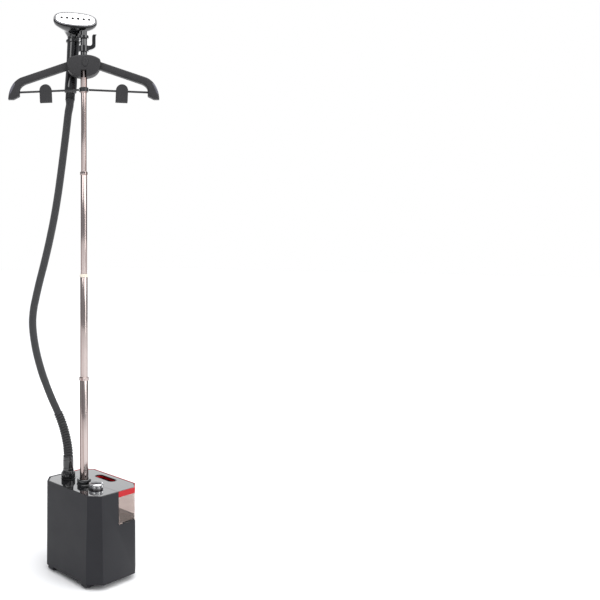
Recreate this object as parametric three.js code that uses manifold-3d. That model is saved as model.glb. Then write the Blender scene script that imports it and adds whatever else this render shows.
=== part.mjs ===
// Upright garment steamer: a wheeled base with a lift-out water tank, a four-section telescopic
// pole, a garment hanger with two trouser clips, and a steam handset joined to the base by a hose.
// Millimetres, +Z up, front of the base towards -Y, floor at z = 0.
import * as THREE from "three";
import { mergeVertices } from "three/addons/utils/BufferGeometryUtils.js";
import { ConvexGeometry } from "three/addons/geometries/ConvexGeometry.js";
import Module from "manifold-3d";

const wasm = await Module();
wasm.setup();

// Base casing
const baseWidth = 245;
const baseDepth = 184;
const casingHeight = 250;
const groundClearance = 17;
const flare = 3.5;
const topChamfer = 29;
const bottomChamfer = 35;
const casingWall = 3;
const panelThickness = 3;
const panelDrop = 0.5;

// Water tank, the rear half of the base
const tankHeight = 94;
const seamY = 0;
const bandHeight = 16;
const tankWall = 2.5;
const gripLength = 80;
const gripDepth = 28;
const gripPocketDepth = 22;

// Fittings along the front half of the top panel
const fittingRowY = -26.5;
const outletX = -75.5;
const knobX = 54.5;
const outletDiameter = 30;
const outletBore = 22;
const outletRise = 15;
const flangeDiameter = 44;
const socketDiameter = 41;
const socketRise = 16;
const socketDepth = 60;
const knobDiameter = 42;
const knobHeight = 14;
const knobShaftDiameter = 8;

// Telescopic pole, lowest section first: outside diameter and height of the top end
const sectionDiameters = [25, 22, 19, 16];
const sectionTops = [580, 881, 1177, 1405];
const tubeWall = 1;
const sectionOverlap = 60;
const bushHeight = 9;
const bushLip = 2;

// Hanger, in a frame turned about the pole so that its arms run along local X
const hangerTurn = 49.5;
const sleeveDiameter = 19;
const sleeveBottom = 1405;
const sleeveTop = 1583;
const blockWidth = 98;
const blockTop = 1515;
const blockBottom = 1445;
const blockFront = 23;
const blockBack = 17;
const armHeight = 21;
const armDepth = 24;
const armSlope = 18.6;
const armReach = 221;
const armRootHeight = 1481;
const tipBottom = 1386;
const tipWidth = 33;
const rodDiameter = 5;
const rodInnerHeight = 1414;
const rodDrop = 7.5;
const rodReach = 192;
const ringDiameter = 27;
const ringHeight = 12;
const clipReach = 110;
const clipWidth = 35;
const clipAboveRod = 19;
const clipBelowRod = 32;
const leafThickness = 3.5;
const leafGap = 8;

// Handset, hung behind the hanger block
const handsetTurn = 6;
const handsetLean = 3.5;
const handleX = -30.7;
const handleY = 43;
const handleTop = 1572;
const handleLength = 160;
const handleDiameter = 36;
const handleBore = 22;
const headWidth = 126;
const headDepth = 60;
const headTilt = 33;
const headForward = 34;
const headRise = 45;
const collarDiameter = 28;
const collarHeight = 20;

// Hose and its fittings
const hoseDiameter = 22.5;
const nutDiameter = 42;
const nutHeight = 22;
const cuffDiameter = 32;
const guardDiameter = 29;
const guardShare = 0.125;

// Rollers
const rollerDiameter = 22;
const rollerWidth = 14;
const axleDiameter = 4;
const rollerX = 78;
const rollerY = 75.5;

// Clearances
const gap = 0.3;
const runningGap = 0.5;

const round = 20;
const small = 10;

const finish = {
  casing: { color: 0x38393c, roughness: 0.45, metalness: 0 },
  gloss: { color: 0x101013, roughness: 0.06, metalness: 0 },
  black: { color: 0x161617, roughness: 0.5, metalness: 0 },
  matt: { color: 0x3c3b3d, roughness: 0.7, metalness: 0 },
  red: { color: 0x8b000a, roughness: 0.2, metalness: 0 },
  smoke: { color: 0x867468, roughness: 0.1, metalness: 0 },
  steel: { color: 0xc9b5ac, roughness: 0.18, metalness: 1 },
  chrome: { color: 0xdadadc, roughness: 0.08, metalness: 1 },
  silver: { color: 0xe6e6e6, roughness: 0.25, metalness: 1 },
  brass: { color: 0xc8843c, roughness: 0.2, metalness: 1 },
  cream: { color: 0xe8dfd0, roughness: 0.5, metalness: 0 },
  hose: { color: 0x3f4042, roughness: 0.75, metalness: 0 },
  cast: { color: 0x9a9a98, roughness: 0.6, metalness: 1 },
  board: { color: 0x1f5a34, roughness: 0.6, metalness: 0 },
  rubber: { color: 0x1c1c1c, roughness: 0.8, metalness: 0 },
};

const group = new THREE.Group();

// Places a finished geometry in the assembly as a named piece.
function piece(parent, name, geometry, look) {
  const mesh = new THREE.Mesh(geometry, new THREE.MeshStandardMaterial(finish[look]));
  mesh.name = name;
  parent.add(mesh);
  return mesh;
}

function bare(geometry) {
  const copy = geometry.clone();
  copy.deleteAttribute("normal");
  copy.deleteAttribute("uv");
  return mergeVertices(copy, 1e-4);
}

function toSolid(geometry) {
  const merged = bare(geometry);
  return new wasm.Manifold(new wasm.Mesh({
    numProp: 3,
    vertProperties: new Float32Array(merged.attributes.position.array),
    triVerts: new Uint32Array(merged.index.array),
  }));
}

function toGeometry(solid) {
  const mesh = solid.getMesh();
  const geometry = new THREE.BufferGeometry();
  geometry.setAttribute("position", new THREE.BufferAttribute(mesh.vertProperties, 3));
  geometry.setIndex(new THREE.BufferAttribute(mesh.triVerts, 1));
  return geometry;
}

function join(...geometries) {
  return toGeometry(geometries.map(toSolid).reduce((sum, next) => sum.add(next)));
}

function cut(geometry, ...tools) {
  return toGeometry(tools.map(toSolid).reduce((rest, tool) => rest.subtract(tool), toSolid(geometry)));
}

function common(first, second) {
  return toGeometry(toSolid(first).intersect(toSolid(second)));
}

// A block between two opposite corners.
function block(x0, y0, z0, x1, y1, z1) {
  return new THREE.BoxGeometry(x1 - x0, y1 - y0, z1 - z0)
    .translate((x0 + x1) / 2, (y0 + y1) / 2, (z0 + z1) / 2);
}

// A solid turned about Z from (radius, height) points; the outline starts and ends on the axis.
function turned(points, sides = round) {
  return new THREE.LatheGeometry(points.map(([r, z]) => new THREE.Vector2(r, z)), sides)
    .rotateX(Math.PI / 2);
}

function rod(diameter, z0, z1, sides = round) {
  return turned([[0, z0], [diameter / 2, z0], [diameter / 2, z1], [0, z1]], sides);
}

function tube(outer, inner, z0, z1, sides = round) {
  const [a, b] = [outer / 2, inner / 2];
  return turned([[b, z0], [a, z0], [a, z1], [b, z1], [b, z0]], sides);
}

// Corner points of a chamfered rectangle, drawn in a level plane.
function octagon(width, depth, leg, z) {
  const [w, d] = [width / 2, depth / 2];
  return [
    [-w + leg, -d], [w - leg, -d], [w, -d + leg], [w, d - leg],
    [w - leg, d], [-w + leg, d], [-w, d - leg], [-w, -d + leg],
  ].map(([x, y]) => new THREE.Vector3(x, y, z));
}

// The tapered casing form, moved inwards by an inset, between two heights.
function casingForm(inset, z0, z1) {
  const ring = (z) => {
    const fall = (groundClearance + casingHeight - z) / casingHeight;
    const grow = 2 * flare * fall - 2 * inset;
    const leg = topChamfer + (bottomChamfer - topChamfer) * fall - inset * (2 - Math.SQRT2);
    return octagon(baseWidth + grow, baseDepth + grow, leg, z);
  };
  return new ConvexGeometry([...ring(z0), ...ring(z1)]);
}

// A flat plate cut from an outline in the XY plane, between two heights.
function plate(shape, z0, z1, curveSegments = 6) {
  const options = { depth: z1 - z0, bevelEnabled: false, curveSegments };
  return new THREE.ExtrudeGeometry(shape, options).translate(0, 0, z0);
}

function slotShape(length, width) {
  const [run, r] = [(length - width) / 2, width / 2];
  const shape = new THREE.Shape();
  shape.moveTo(-run, -r);
  shape.lineTo(run, -r);
  shape.absarc(run, 0, r, -Math.PI / 2, Math.PI / 2);
  shape.lineTo(-run, r);
  shape.absarc(-run, 0, r, Math.PI / 2, 1.5 * Math.PI);
  return shape;
}

// A bar of constant section swept along a path; the section is given as [width, height].
function swept(path, section, steps) {
  const shape = new THREE.Shape();
  const [w, h] = [section[0] / 2, section[1] / 2];
  const sides = 10;
  for (let i = 0; i < sides; i += 1) {
    const a = (2 * Math.PI * i) / sides;
    const [x, y] = [w * Math.cos(a), h * Math.sin(a)];
    if (i === 0) shape.moveTo(x, y);
    else shape.lineTo(x, y);
  }
  return new THREE.ExtrudeGeometry(shape, { steps, extrudePath: path, bevelEnabled: false });
}

function holder(parent, x, y, z) {
  const place = new THREE.Group();
  place.position.set(x, y, z);
  parent.add(place);
  return place;
}

const panelTop = groundClearance + casingHeight;
const panelBottom = panelTop - panelDrop - panelThickness;
const tankFloor = panelTop - tankHeight;
const bandBottom = panelTop - bandHeight;
const farOut = baseWidth;
const fittingFace = panelTop - panelDrop + gap;
const cupDiameter = sectionDiameters[0] + 7;

// ---- base ----

const base = holder(group, 0, 0, 0);
const frontPanelEdge = seamY - gap / 2;
const tankFrontEdge = seamY + gap / 2;
const shelfTop = tankFloor - gap;
const shelfThickness = 3;
const bulkheadY = seamY - casingWall;
const seatX = -60;
const seatY = 48;
const seatDiameter = 34;
const glandX = 70;
const glandZ = 40;
const glandDiameter = 14;

function bodyShell() {
  const outer = casingForm(0, groundClearance, panelTop);
  const inner = casingForm(casingWall, groundClearance - 1, panelTop + 1);
  const walls = cut(outer, inner);
  const shelf = common(
    casingForm(casingWall / 2, groundClearance, panelTop),
    block(-farOut, bulkheadY, shelfTop - shelfThickness, farOut, farOut, shelfTop),
  );
  const bulkhead = common(
    casingForm(casingWall / 2, groundClearance, panelTop),
    block(-farOut, bulkheadY, shelfTop - 1, farOut, frontPanelEdge - gap / 2, panelBottom - gap),
  );
  const bay = block(-farOut, frontPanelEdge, shelfTop, farOut, farOut, panelTop + 1);
  const seatHole = rod(seatDiameter + 2 * gap, shelfTop - 9, shelfTop + 9).translate(seatX, seatY, 0);
  const glandHole = rod(glandDiameter + 2 * gap, 0, baseDepth, small).rotateX(-Math.PI / 2)
    .translate(glandX, 0, glandZ);
  return cut(join(walls, shelf, bulkhead), bay, seatHole, glandHole);
}

function topPanel() {
  const sheet = common(
    casingForm(casingWall + gap, panelBottom, panelTop - panelDrop),
    block(-farOut, -farOut, 0, farOut, frontPanelEdge, farOut * 2),
  );
  const hole = (diameter, x) => rod(diameter, 0, panelTop * 2).translate(x, fittingRowY, 0);
  return cut(
    sheet,
    hole(outletDiameter + 2 * gap, outletX),
    hole(cupDiameter + 2 * gap, 0),
    hole(knobShaftDiameter + 2 * runningGap, knobX),
  );
}

piece(base, "body_shell", bodyShell(), "casing");
piece(base, "top_panel", topPanel(), "gloss");

// Base tray with a roller housing at each corner.
const trayThickness = 3;
const trayBottom = groundClearance + 1;
const housingBottom = 6;
const housingTop = rollerDiameter + 5;
const rollerGap = 1.5;
const housingWall = 3.5;
const rollerPlaces = [
  [-rollerX, -rollerY], [rollerX, -rollerY], [-rollerX, rollerY], [rollerX, rollerY],
];
const rollerNames = ["front_left", "front_right", "rear_left", "rear_right"];

function baseTray() {
  const floor = casingForm(casingWall + gap, trayBottom, trayBottom + trayThickness);
  const [w, d] = [rollerWidth / 2 + rollerGap + housingWall, rollerDiameter / 2 + rollerGap + housingWall];
  let tray = toSolid(floor);
  for (const [x, y] of rollerPlaces) {
    tray = tray.add(toSolid(block(x - w, y - d, housingBottom, x + w, y + d, housingTop)));
    tray = tray.subtract(toSolid(block(
      x - w + housingWall, y - d + housingWall, 0,
      x + w - housingWall, y + d - housingWall, housingTop - housingWall,
    )));
    const bore = rod(axleDiameter + 2 * gap, -farOut, farOut, small).rotateY(Math.PI / 2);
    const reach = w - 1;
    const short = common(bore, block(-reach, -9, -9, reach, 9, 9));
    tray = tray.subtract(toSolid(short.translate(x, y, rollerDiameter / 2)));
  }
  return toGeometry(tray);
}

piece(base, "base_tray", baseTray(), "casing");
rollerPlaces.forEach(([x, y], i) => {
  const axleLength = rollerWidth + 2 * rollerGap + 2 * (housingWall - 1) - 2 * gap;
  const axle = rod(axleDiameter, -axleLength / 2, axleLength / 2, small).rotateY(Math.PI / 2);
  const roller = tube(rollerDiameter, axleDiameter + 2 * gap, -rollerWidth / 2, rollerWidth / 2)
    .rotateY(Math.PI / 2);
  const hub = holder(base, x, y, rollerDiameter / 2);
  piece(hub, `axle_${rollerNames[i]}`, axle, "chrome");
  piece(hub, `roller_${rollerNames[i]}`, roller, "rubber");
});

// Pole socket: a raised ring above the panel and a closed cup below it.
const poleBore = sectionDiameters[0] + 2 * runningGap;
const cupBottom = panelTop - socketDepth;
const socket = holder(base, 0, fittingRowY, 0);
piece(socket, "pole_socket", turned([
  [0, cupBottom - 4], [cupDiameter / 2, cupBottom - 4], [cupDiameter / 2, fittingFace],
  [socketDiameter / 2, fittingFace], [socketDiameter / 2, fittingFace + socketRise - 1.5],
  [socketDiameter / 2 - 1.5, fittingFace + socketRise], [poleBore / 2, fittingFace + socketRise],
  [poleBore / 2, cupBottom], [0, cupBottom],
]), "gloss");

// Steam outlet: a threaded neck with a flange, lined with a brass tube.
const outlet = holder(base, outletX, fittingRowY, 0);
const outletBottom = panelBottom - 12;
const threadPitch = 3.6;
function neckOutline() {
  const r = outletDiameter / 2;
  const points = [
    [outletBore / 2 + 1.5, outletBottom], [r, outletBottom], [r, fittingFace],
    [flangeDiameter / 2, fittingFace], [flangeDiameter / 2, fittingFace + 1.5], [r - 1, fittingFace + 2],
  ];
  const turns = Math.floor((outletRise - 4) / threadPitch);
  for (let i = 0; i < turns; i += 1) {
    const z = fittingFace + 2.5 + i * threadPitch;
    points.push([r, z + threadPitch * 0.35], [r - 1, z + threadPitch * 0.8]);
  }
  points.push([r - 1, fittingFace + outletRise], [outletBore / 2 + 1.5, fittingFace + outletRise]);
  points.push(points[0]);
  return points;
}
piece(outlet, "steam_outlet", turned(neckOutline()), "black");
piece(outlet, "outlet_liner", tube(
  outletBore + 3 - 2 * gap, outletBore - 2, outletBottom - 6, fittingFace + outletRise,
), "brass");

// Steam control knob with its ring, shaft and switch.
const knobRingHeight = 3;
const knobBottom = fittingFace + knobRingHeight + gap;
const knob = holder(base, knobX, fittingRowY, 0);
piece(knob, "knob_ring", tube(
  knobDiameter - 1, knobShaftDiameter + 2 * runningGap, fittingFace, fittingFace + knobRingHeight,
), "black");
piece(knob, "control_knob", turned([
  [0, knobBottom - 24], [knobShaftDiameter / 2, knobBottom - 24], [knobShaftDiameter / 2, knobBottom],
  [knobDiameter / 2, knobBottom], [knobDiameter / 2, knobBottom + knobHeight - 3],
  [knobDiameter / 2 - 2.5, knobBottom + knobHeight - 1], [knobDiameter / 4, knobBottom + knobHeight],
  [0, knobBottom + knobHeight + 0.5],
]), "chrome");
piece(knob, "rotary_switch", tube(
  30, knobShaftDiameter + 2 * runningGap, knobBottom - 34, panelBottom - gap,
), "black");

// Inside the base: heater, thermostat, steam pipe, pump, board, tank seat and cord gland.
const heaterX = -63;
const heaterY = -38;
const heaterLength = 86;
const heaterDepth = 60;
const heaterBottom = 58;
const heaterTop = 108;
const finCount = 5;
const finPitch = 18;
const finWidth = 4;
const finHeight = 8;
const finDepth = 52;
const bossDiameter = 20;
const thermostatX = -37;
const thermostatY = -48;

// A block standing on a height, round a centre.
function standing(x, y, bottom, width, depth, height) {
  return block(x - width / 2, y - depth / 2, bottom, x + width / 2, y + depth / 2, bottom + height);
}

function heaterBlock() {
  const bodyTop = heaterTop - finHeight;
  const parts = [standing(heaterX, heaterY, heaterBottom, heaterLength, heaterDepth, bodyTop - heaterBottom)];
  for (let i = 0; i < finCount; i += 1) {
    const x = heaterX + (i - (finCount - 1) / 2) * finPitch;
    if (Math.abs(x - outletX) > bossDiameter / 2 + finWidth) {
      parts.push(standing(x, heaterY, bodyTop - 1, finWidth, finDepth, finHeight + 1));
    }
  }
  parts.push(rod(bossDiameter, bodyTop - 1, heaterTop).translate(outletX, fittingRowY, 0));
  return join(...parts);
}
piece(base, "heater_block", heaterBlock(), "cast");
piece(base, "thermostat", rod(11, heaterTop - finHeight + gap, heaterTop + 4)
  .translate(thermostatX, thermostatY, 0), "brass");

const pipeDiameter = 16;
const pipeBow = 12;
const pipeTop = outletBottom - 6 - gap;
const pipePoint = (y, z) => new THREE.Vector3(outletX, y, z);
const pipePath = new THREE.CatmullRomCurve3([
  pipePoint(fittingRowY, heaterTop + gap),
  pipePoint(fittingRowY, heaterTop + 30),
  pipePoint(fittingRowY - pipeBow, (heaterTop + outletBottom) / 2),
  pipePoint(fittingRowY, pipeTop - 30),
  pipePoint(fittingRowY, pipeTop),
]);
piece(base, "steam_pipe", swept(pipePath, [pipeDiameter, pipeDiameter], 14), "cream");

const pumpX = 44;
const pumpY = 28;
const pumpDiameter = 38;
const pumpLength = 68;
const pumpFootWidth = 52;
const pumpFootDepth = 44;
const pumpCentreHeight = 24;
const portDiameter = 10;
const portSpan = 96;
const pump = join(
  rod(pumpDiameter, -pumpLength / 2, pumpLength / 2).rotateY(Math.PI / 2),
  rod(portDiameter, -portSpan / 2, portSpan / 2, small).rotateY(Math.PI / 2),
  standing(0, 0, -pumpCentreHeight, pumpFootWidth, pumpFootDepth, pumpCentreHeight),
).translate(pumpX, pumpY, trayBottom + trayThickness + pumpCentreHeight + gap);
piece(base, "water_pump", pump, "black");

const boardX = 97;
const boardY = -33;
const boardBottom = 70;
const boardThickness = 2;
const boardWidth = 54;
const boardHeight = 96;
// The board's components: how far in they stand, their middle along Y, bottom, width and height.
const components = [[14, -42, 82, 24, 26], [10, -16.5, 120, 15, 30], [12, -44, 126, 20, 32]];
const board = join(
  standing(boardX, boardY, boardBottom, boardThickness, boardWidth, boardHeight),
  ...components.map(([out, y, bottom, width, height]) => (
    standing(boardX - out / 2, y, bottom, out, width, height))),
);
piece(base, "control_board", board, "board");

const seatBore = 10;
const seatStem = 18;
const seatLip = 3;
const shelfBottom = shelfTop - shelfThickness;
piece(base, "tank_seat", turned([
  [seatBore / 2, shelfBottom - 12], [seatStem / 2, shelfBottom - 12], [seatStem / 2, shelfBottom - 4],
  [seatDiameter / 2, shelfBottom - 4], [seatDiameter / 2, shelfTop],
  [seatDiameter / 2 - seatLip, shelfTop], [seatDiameter / 2 - seatLip, shelfTop - 5],
  [seatBore / 2, shelfTop - 5], [seatBore / 2, shelfBottom - 12],
]).translate(seatX, seatY, 0), "black");

const glandFace = baseDepth / 2 + flare * (1 - (glandZ - groundClearance) / casingHeight) + 2 * gap;
piece(base, "cord_gland", turned([
  [4, -10], [glandDiameter / 2, -10], [glandDiameter / 2, 0], [10, 0], [10, 2.5], [7, 6], [4, 6], [4, -10],
], small).rotateX(-Math.PI / 2).translate(glandX, glandFace, glandZ), "rubber");

// ---- water tank ----

const tank = holder(group, 0, 0, 0);
const rearRegion = (z0, z1, front = tankFrontEdge) => block(-farOut, front, z0, farOut, farOut, z1);
const gripY = (seamY + baseDepth / 2) * 0.62;
const valveDiameter = 16;

function tankShell() {
  const outer = common(casingForm(0, tankFloor, panelTop), rearRegion(tankFloor, bandBottom - gap));
  const inner = common(
    casingForm(tankWall, tankFloor, panelTop),
    rearRegion(tankFloor + tankWall, panelTop, tankFrontEdge + tankWall),
  );
  const hole = rod(valveDiameter + 2 * gap, tankFloor - 9, tankFloor + 9).translate(seatX, seatY, 0);
  return cut(outer, inner, hole);
}

function lidBand() {
  const outer = common(casingForm(0, bandBottom, panelTop), rearRegion(bandBottom, panelTop));
  const inner = common(
    casingForm(casingWall, bandBottom - 1, panelTop + 1),
    rearRegion(bandBottom - 1, panelTop + 1, tankFrontEdge + casingWall),
  );
  const underLid = common(
    casingForm(casingWall, bandBottom, panelTop + 1),
    rearRegion(panelBottom - gap, panelTop + 1, 0),
  );
  return cut(outer, inner, underLid);
}

function tankLid() {
  const sheet = common(
    casingForm(casingWall + gap, panelBottom, panelTop - panelDrop),
    rearRegion(0, panelTop),
  );
  const opening = plate(slotShape(gripLength, gripDepth), panelBottom - 1, panelTop + 1)
    .translate(0, gripY, 0);
  return cut(sheet, opening);
}

function gripPocket() {
  const top = panelBottom - gap;
  const outer = plate(slotShape(gripLength + 6, gripDepth + 6), top - gripPocketDepth, top);
  const inner = plate(slotShape(gripLength, gripDepth), top - gripPocketDepth + 2, top + 1);
  return cut(outer, inner).translate(0, gripY, 0);
}

piece(tank, "tank_shell", tankShell(), "smoke");
piece(tank, "lid_band", lidBand(), "red");
piece(tank, "tank_lid", tankLid(), "gloss");
piece(tank, "grip_pocket", gripPocket(), "red");
piece(tank, "tank_valve", turned([
  [0, tankFloor - 4], [3, tankFloor - 4], [3, tankFloor], [valveDiameter / 2, tankFloor],
  [valveDiameter / 2, tankFloor + tankWall + gap], [valveDiameter / 2 + 3, tankFloor + tankWall + gap],
  [valveDiameter / 2 + 3, tankFloor + 14], [6, tankFloor + 26], [0, tankFloor + 26],
]).translate(seatX, seatY, 0), "matt");

// ---- pole ----

const pole = holder(group, 0, fittingRowY, 0);
const sectionNames = ["lower", "middle", "upper", "top"];
sectionDiameters.forEach((diameter, i) => {
  const bottom = i === 0 ? cupBottom + gap : sectionTops[i - 1] - sectionOverlap;
  const top = i === 3 ? sleeveTop - 10 : sectionTops[i];
  piece(pole, `pole_${sectionNames[i]}_tube`, tube(diameter, diameter - 2 * tubeWall, bottom, top), "steel");
  if (i < 3) {
    const next = sectionDiameters[i + 1] / 2 + runningGap;
    const seat = diameter / 2 + gap;
    const outer = seat + 1.4;
    piece(pole, `pole_${sectionNames[i]}_bush`, turned([
      [seat, top - bushHeight + bushLip], [outer, top - bushHeight + bushLip], [outer, top + bushLip],
      [next, top + bushLip], [next, top + gap], [seat, top + gap], [seat, top - bushHeight + bushLip],
    ]), i === 1 ? "cream" : "steel");
  }
});

// ---- hanger head, turned about the pole ----

const head = holder(pole, 0, 0, 0);
head.rotation.z = THREE.MathUtils.degToRad(hangerTurn);

const sleeveBore = sectionDiameters[3] + 2 * gap;
piece(head, "top_sleeve", turned([
  [sleeveBore / 2, sleeveBottom], [sleeveDiameter / 2, sleeveBottom], [sleeveDiameter / 2, sleeveTop],
  [0, sleeveTop], [0, sleeveTop - 4], [sleeveBore / 2, sleeveTop - 4], [sleeveBore / 2, sleeveBottom],
]), "black");

// Outline of the hanger block seen from its front: convex top, round sides, half-round bottom.
function blockOutline(inset) {
  const w = blockWidth / 2 - inset;
  const [top, bottom] = [blockTop - inset, blockBottom + inset];
  const shoulder = top - 12;
  const waist = top - 26;
  const shape = new THREE.Shape();
  shape.moveTo(0, top);
  shape.quadraticCurveTo(w * 0.62, top, w * 0.93, shoulder);
  shape.quadraticCurveTo(w, shoulder - 4, w, waist);
  shape.quadraticCurveTo(w * 0.9, bottom, 0, bottom);
  shape.quadraticCurveTo(-w * 0.9, bottom, -w, waist);
  shape.quadraticCurveTo(-w, shoulder - 4, -w * 0.93, shoulder);
  shape.quadraticCurveTo(-w * 0.62, top, 0, top);
  return shape;
}

// Raises a front-view outline along local Y, from the side facing -Y.
function fromFront(shape, y0, y1, curveSegments = 5) {
  return new THREE.ExtrudeGeometry(shape, { depth: y1 - y0, bevelEnabled: false, curveSegments })
    .rotateX(Math.PI / 2).translate(0, y1, 0);
}

const slope = THREE.MathUtils.degToRad(armSlope);
const armRootX = 22;
const buttonX = 4;
const buttonZ = 1489;

// One arm seen from the front: straight down its slope, then round into a wide drooped tip.
function armOutline(side, extra) {
  const along = (x) => armRootHeight - (x - blockWidth / 2) * Math.tan(slope);
  const half = (armHeight / 2 + extra) / Math.cos(slope);
  const [bendX, innerX] = [armReach - 36, armReach - tipWidth];
  const shape = new THREE.Shape();
  shape.moveTo(side * (armRootX - extra), along(armRootX - extra) + half);
  shape.lineTo(side * bendX, along(bendX) + half);
  shape.quadraticCurveTo(side * (armReach - 3), along(bendX) - 5, side * armReach, tipBottom + 4);
  shape.lineTo(side * (armReach - 2), tipBottom);
  shape.lineTo(side * (innerX + 18), tipBottom);
  shape.lineTo(side * innerX, tipBottom + 9);
  shape.lineTo(side * innerX, rodInnerHeight - rodDrop + 5);
  const underX = bendX - 15;
  shape.quadraticCurveTo(side * (innerX - 2), along(bendX) - half - 2, side * underX, along(underX) - half);
  shape.lineTo(side * (armRootX - extra), along(armRootX - extra) - half);
  return shape;
}

const arm = (side, extra) => fromFront(armOutline(side, extra), -armDepth / 2 - extra, armDepth / 2 + extra);
const rodPitch = Math.atan2(rodDrop, rodReach - ringDiameter / 2);
const rodHeightAt = (x) => rodInnerHeight - (x - ringDiameter / 2) * Math.tan(rodPitch);

function bar(side, diameter, x0, x1) {
  return rod(diameter, x0, x1, small).rotateY(Math.PI / 2)
    .rotateY(rodPitch).rotateZ(side > 0 ? 0 : Math.PI)
    .translate(0, 0, rodInnerHeight + (ringDiameter / 2) * Math.tan(rodPitch));
}

function hangerBlock() {
  const outer = fromFront(blockOutline(0), -blockFront, blockBack);
  const inner = fromFront(blockOutline(3), -blockFront + 3, blockBack - 3);
  const post = common(
    rod(sleeveDiameter + 8, blockBottom, blockTop),
    fromFront(blockOutline(1), -blockFront, blockBack),
  );
  const shell = join(cut(outer, inner), post);
  const bore = rod(sleeveDiameter + 2 * runningGap, blockBottom - 9, blockTop + 9);
  const slot = block(-8, -blockFront - 1, blockBottom - 1, 8, -sleeveDiameter / 2, blockBottom + 20);
  const button = fromFront(buttonOutline(gap * 2), -blockFront - 1, -sleeveDiameter / 2 - 4);
  return cut(shell, bore, slot, button, arm(-1, gap), arm(1, gap));
}

function buttonOutline(extra) {
  const shape = new THREE.Shape();
  shape.absellipse(buttonX, buttonZ, 8.5 + extra, 13 + extra, 0, 2 * Math.PI);
  return shape;
}

piece(head, "hanger_block", hangerBlock(), "matt");
const buttonInner = sleeveDiameter / 2 + 4 + 3.2;
piece(head, "release_button", fromFront(buttonOutline(0), -blockFront - 1, -buttonInner), "matt");

// The ring below the block carries the inner ends of the trouser rods.
const ringBore = sleeveDiameter + 2 * runningGap;
piece(head, "rod_ring", tube(
  ringDiameter, ringBore, rodInnerHeight - ringHeight / 2, rodInnerHeight + ringHeight / 2,
), "black");

const sides = { left: -1, right: 1 };
for (const [name, side] of Object.entries(sides)) {
  const socketBar = bar(side, rodDiameter + 2 * gap, 100, rodReach + gap);
  piece(head, `arm_${name}`, cut(arm(side, 0), socketBar), "matt");
  piece(head, `rod_${name}`, bar(side, rodDiameter, ringDiameter / 2 + gap, rodReach), "black");
}

// Trouser clips: a front leaf with its barrel on the rod, and a sprung back jaw with two ears.
function leafOutline() {
  const w = clipWidth / 2;
  const shape = new THREE.Shape();
  shape.moveTo(-w, -clipBelowRod);
  shape.lineTo(w, -clipBelowRod);
  shape.lineTo(w, clipAboveRod - w);
  shape.absarc(0, clipAboveRod - w, w, 0, Math.PI);
  return shape;
}

const barrelDiameter = rodDiameter + 7;
const barrelHalf = 9;
function clipLeaf(y0, y1, spans) {
  const rodHole = rod(rodDiameter + 2 * runningGap, -clipWidth, clipWidth, small).rotateY(Math.PI / 2);
  let solid = toSolid(fromFront(leafOutline(), y0, y1));
  for (const [x0, x1] of spans) {
    solid = solid.add(toSolid(rod(barrelDiameter, x0, x1, small).rotateY(Math.PI / 2)));
  }
  return toGeometry(solid.subtract(toSolid(rodHole)));
}

for (const [name, side] of Object.entries(sides)) {
  const place = holder(head, side * clipReach, 0, rodHeightAt(clipReach));
  place.rotation.y = side * rodPitch;
  const w = clipWidth / 2;
  const near = leafGap / 2;
  const front = clipLeaf(-near - leafThickness, -near, [[-barrelHalf, barrelHalf]]);
  const notch = block(-barrelHalf - 1, -near - 3, -8, barrelHalf + 1, near + leafThickness + 1, 8);
  const ears = clipLeaf(near, near + leafThickness, [[-w, -barrelHalf - 1], [barrelHalf + 1, w]]);
  const earNotches = [
    block(-w - 1, -near - leafThickness - 1, -8, -barrelHalf - 0.5, near, 8),
    block(barrelHalf + 0.5, -near - leafThickness - 1, -8, w + 1, near, 8),
  ];
  piece(place, `clip_${name}`, cut(front, ...earNotches), "matt");
  piece(place, `clip_${name}_jaw`, cut(ears, notch), "matt");
}

// Handset cradle and side hook, each clamped round the top sleeve.
const clampBore = sleeveDiameter + 2 * gap;
const clampDiameter = sleeveDiameter + 9;
const cradleTop = handleTop - 4;
const cradleHeight = 8;
const forkWall = 3;
const forkBore = handleDiameter + 2;
function cradle() {
  const forkX = handleX - 0.4;
  const reachY = handleY;
  const ring = rod(forkBore + 2 * forkWall, cradleTop - cradleHeight, cradleTop).translate(forkX, reachY, 0);
  const clamp = rod(clampDiameter, cradleTop - cradleHeight, cradleTop);
  const length = Math.hypot(forkX, reachY);
  const web = block(0, -7, cradleTop - cradleHeight, length - forkBore / 2, 7, cradleTop)
    .rotateZ(Math.atan2(reachY, forkX));
  const hollow = rod(forkBore, 0, sleeveTop * 2).translate(forkX, reachY, 0);
  const mouth = block(0, -13, 0, forkBore, 13, sleeveTop * 2)
    .rotateZ(Math.atan2(reachY, forkX)).translate(forkX, reachY, 0);
  const sleeveHole = rod(clampBore, 0, sleeveTop * 2);
  return cut(join(ring, clamp, web), hollow, mouth, sleeveHole);
}
piece(head, "handset_cradle", cradle(), "black");

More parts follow.
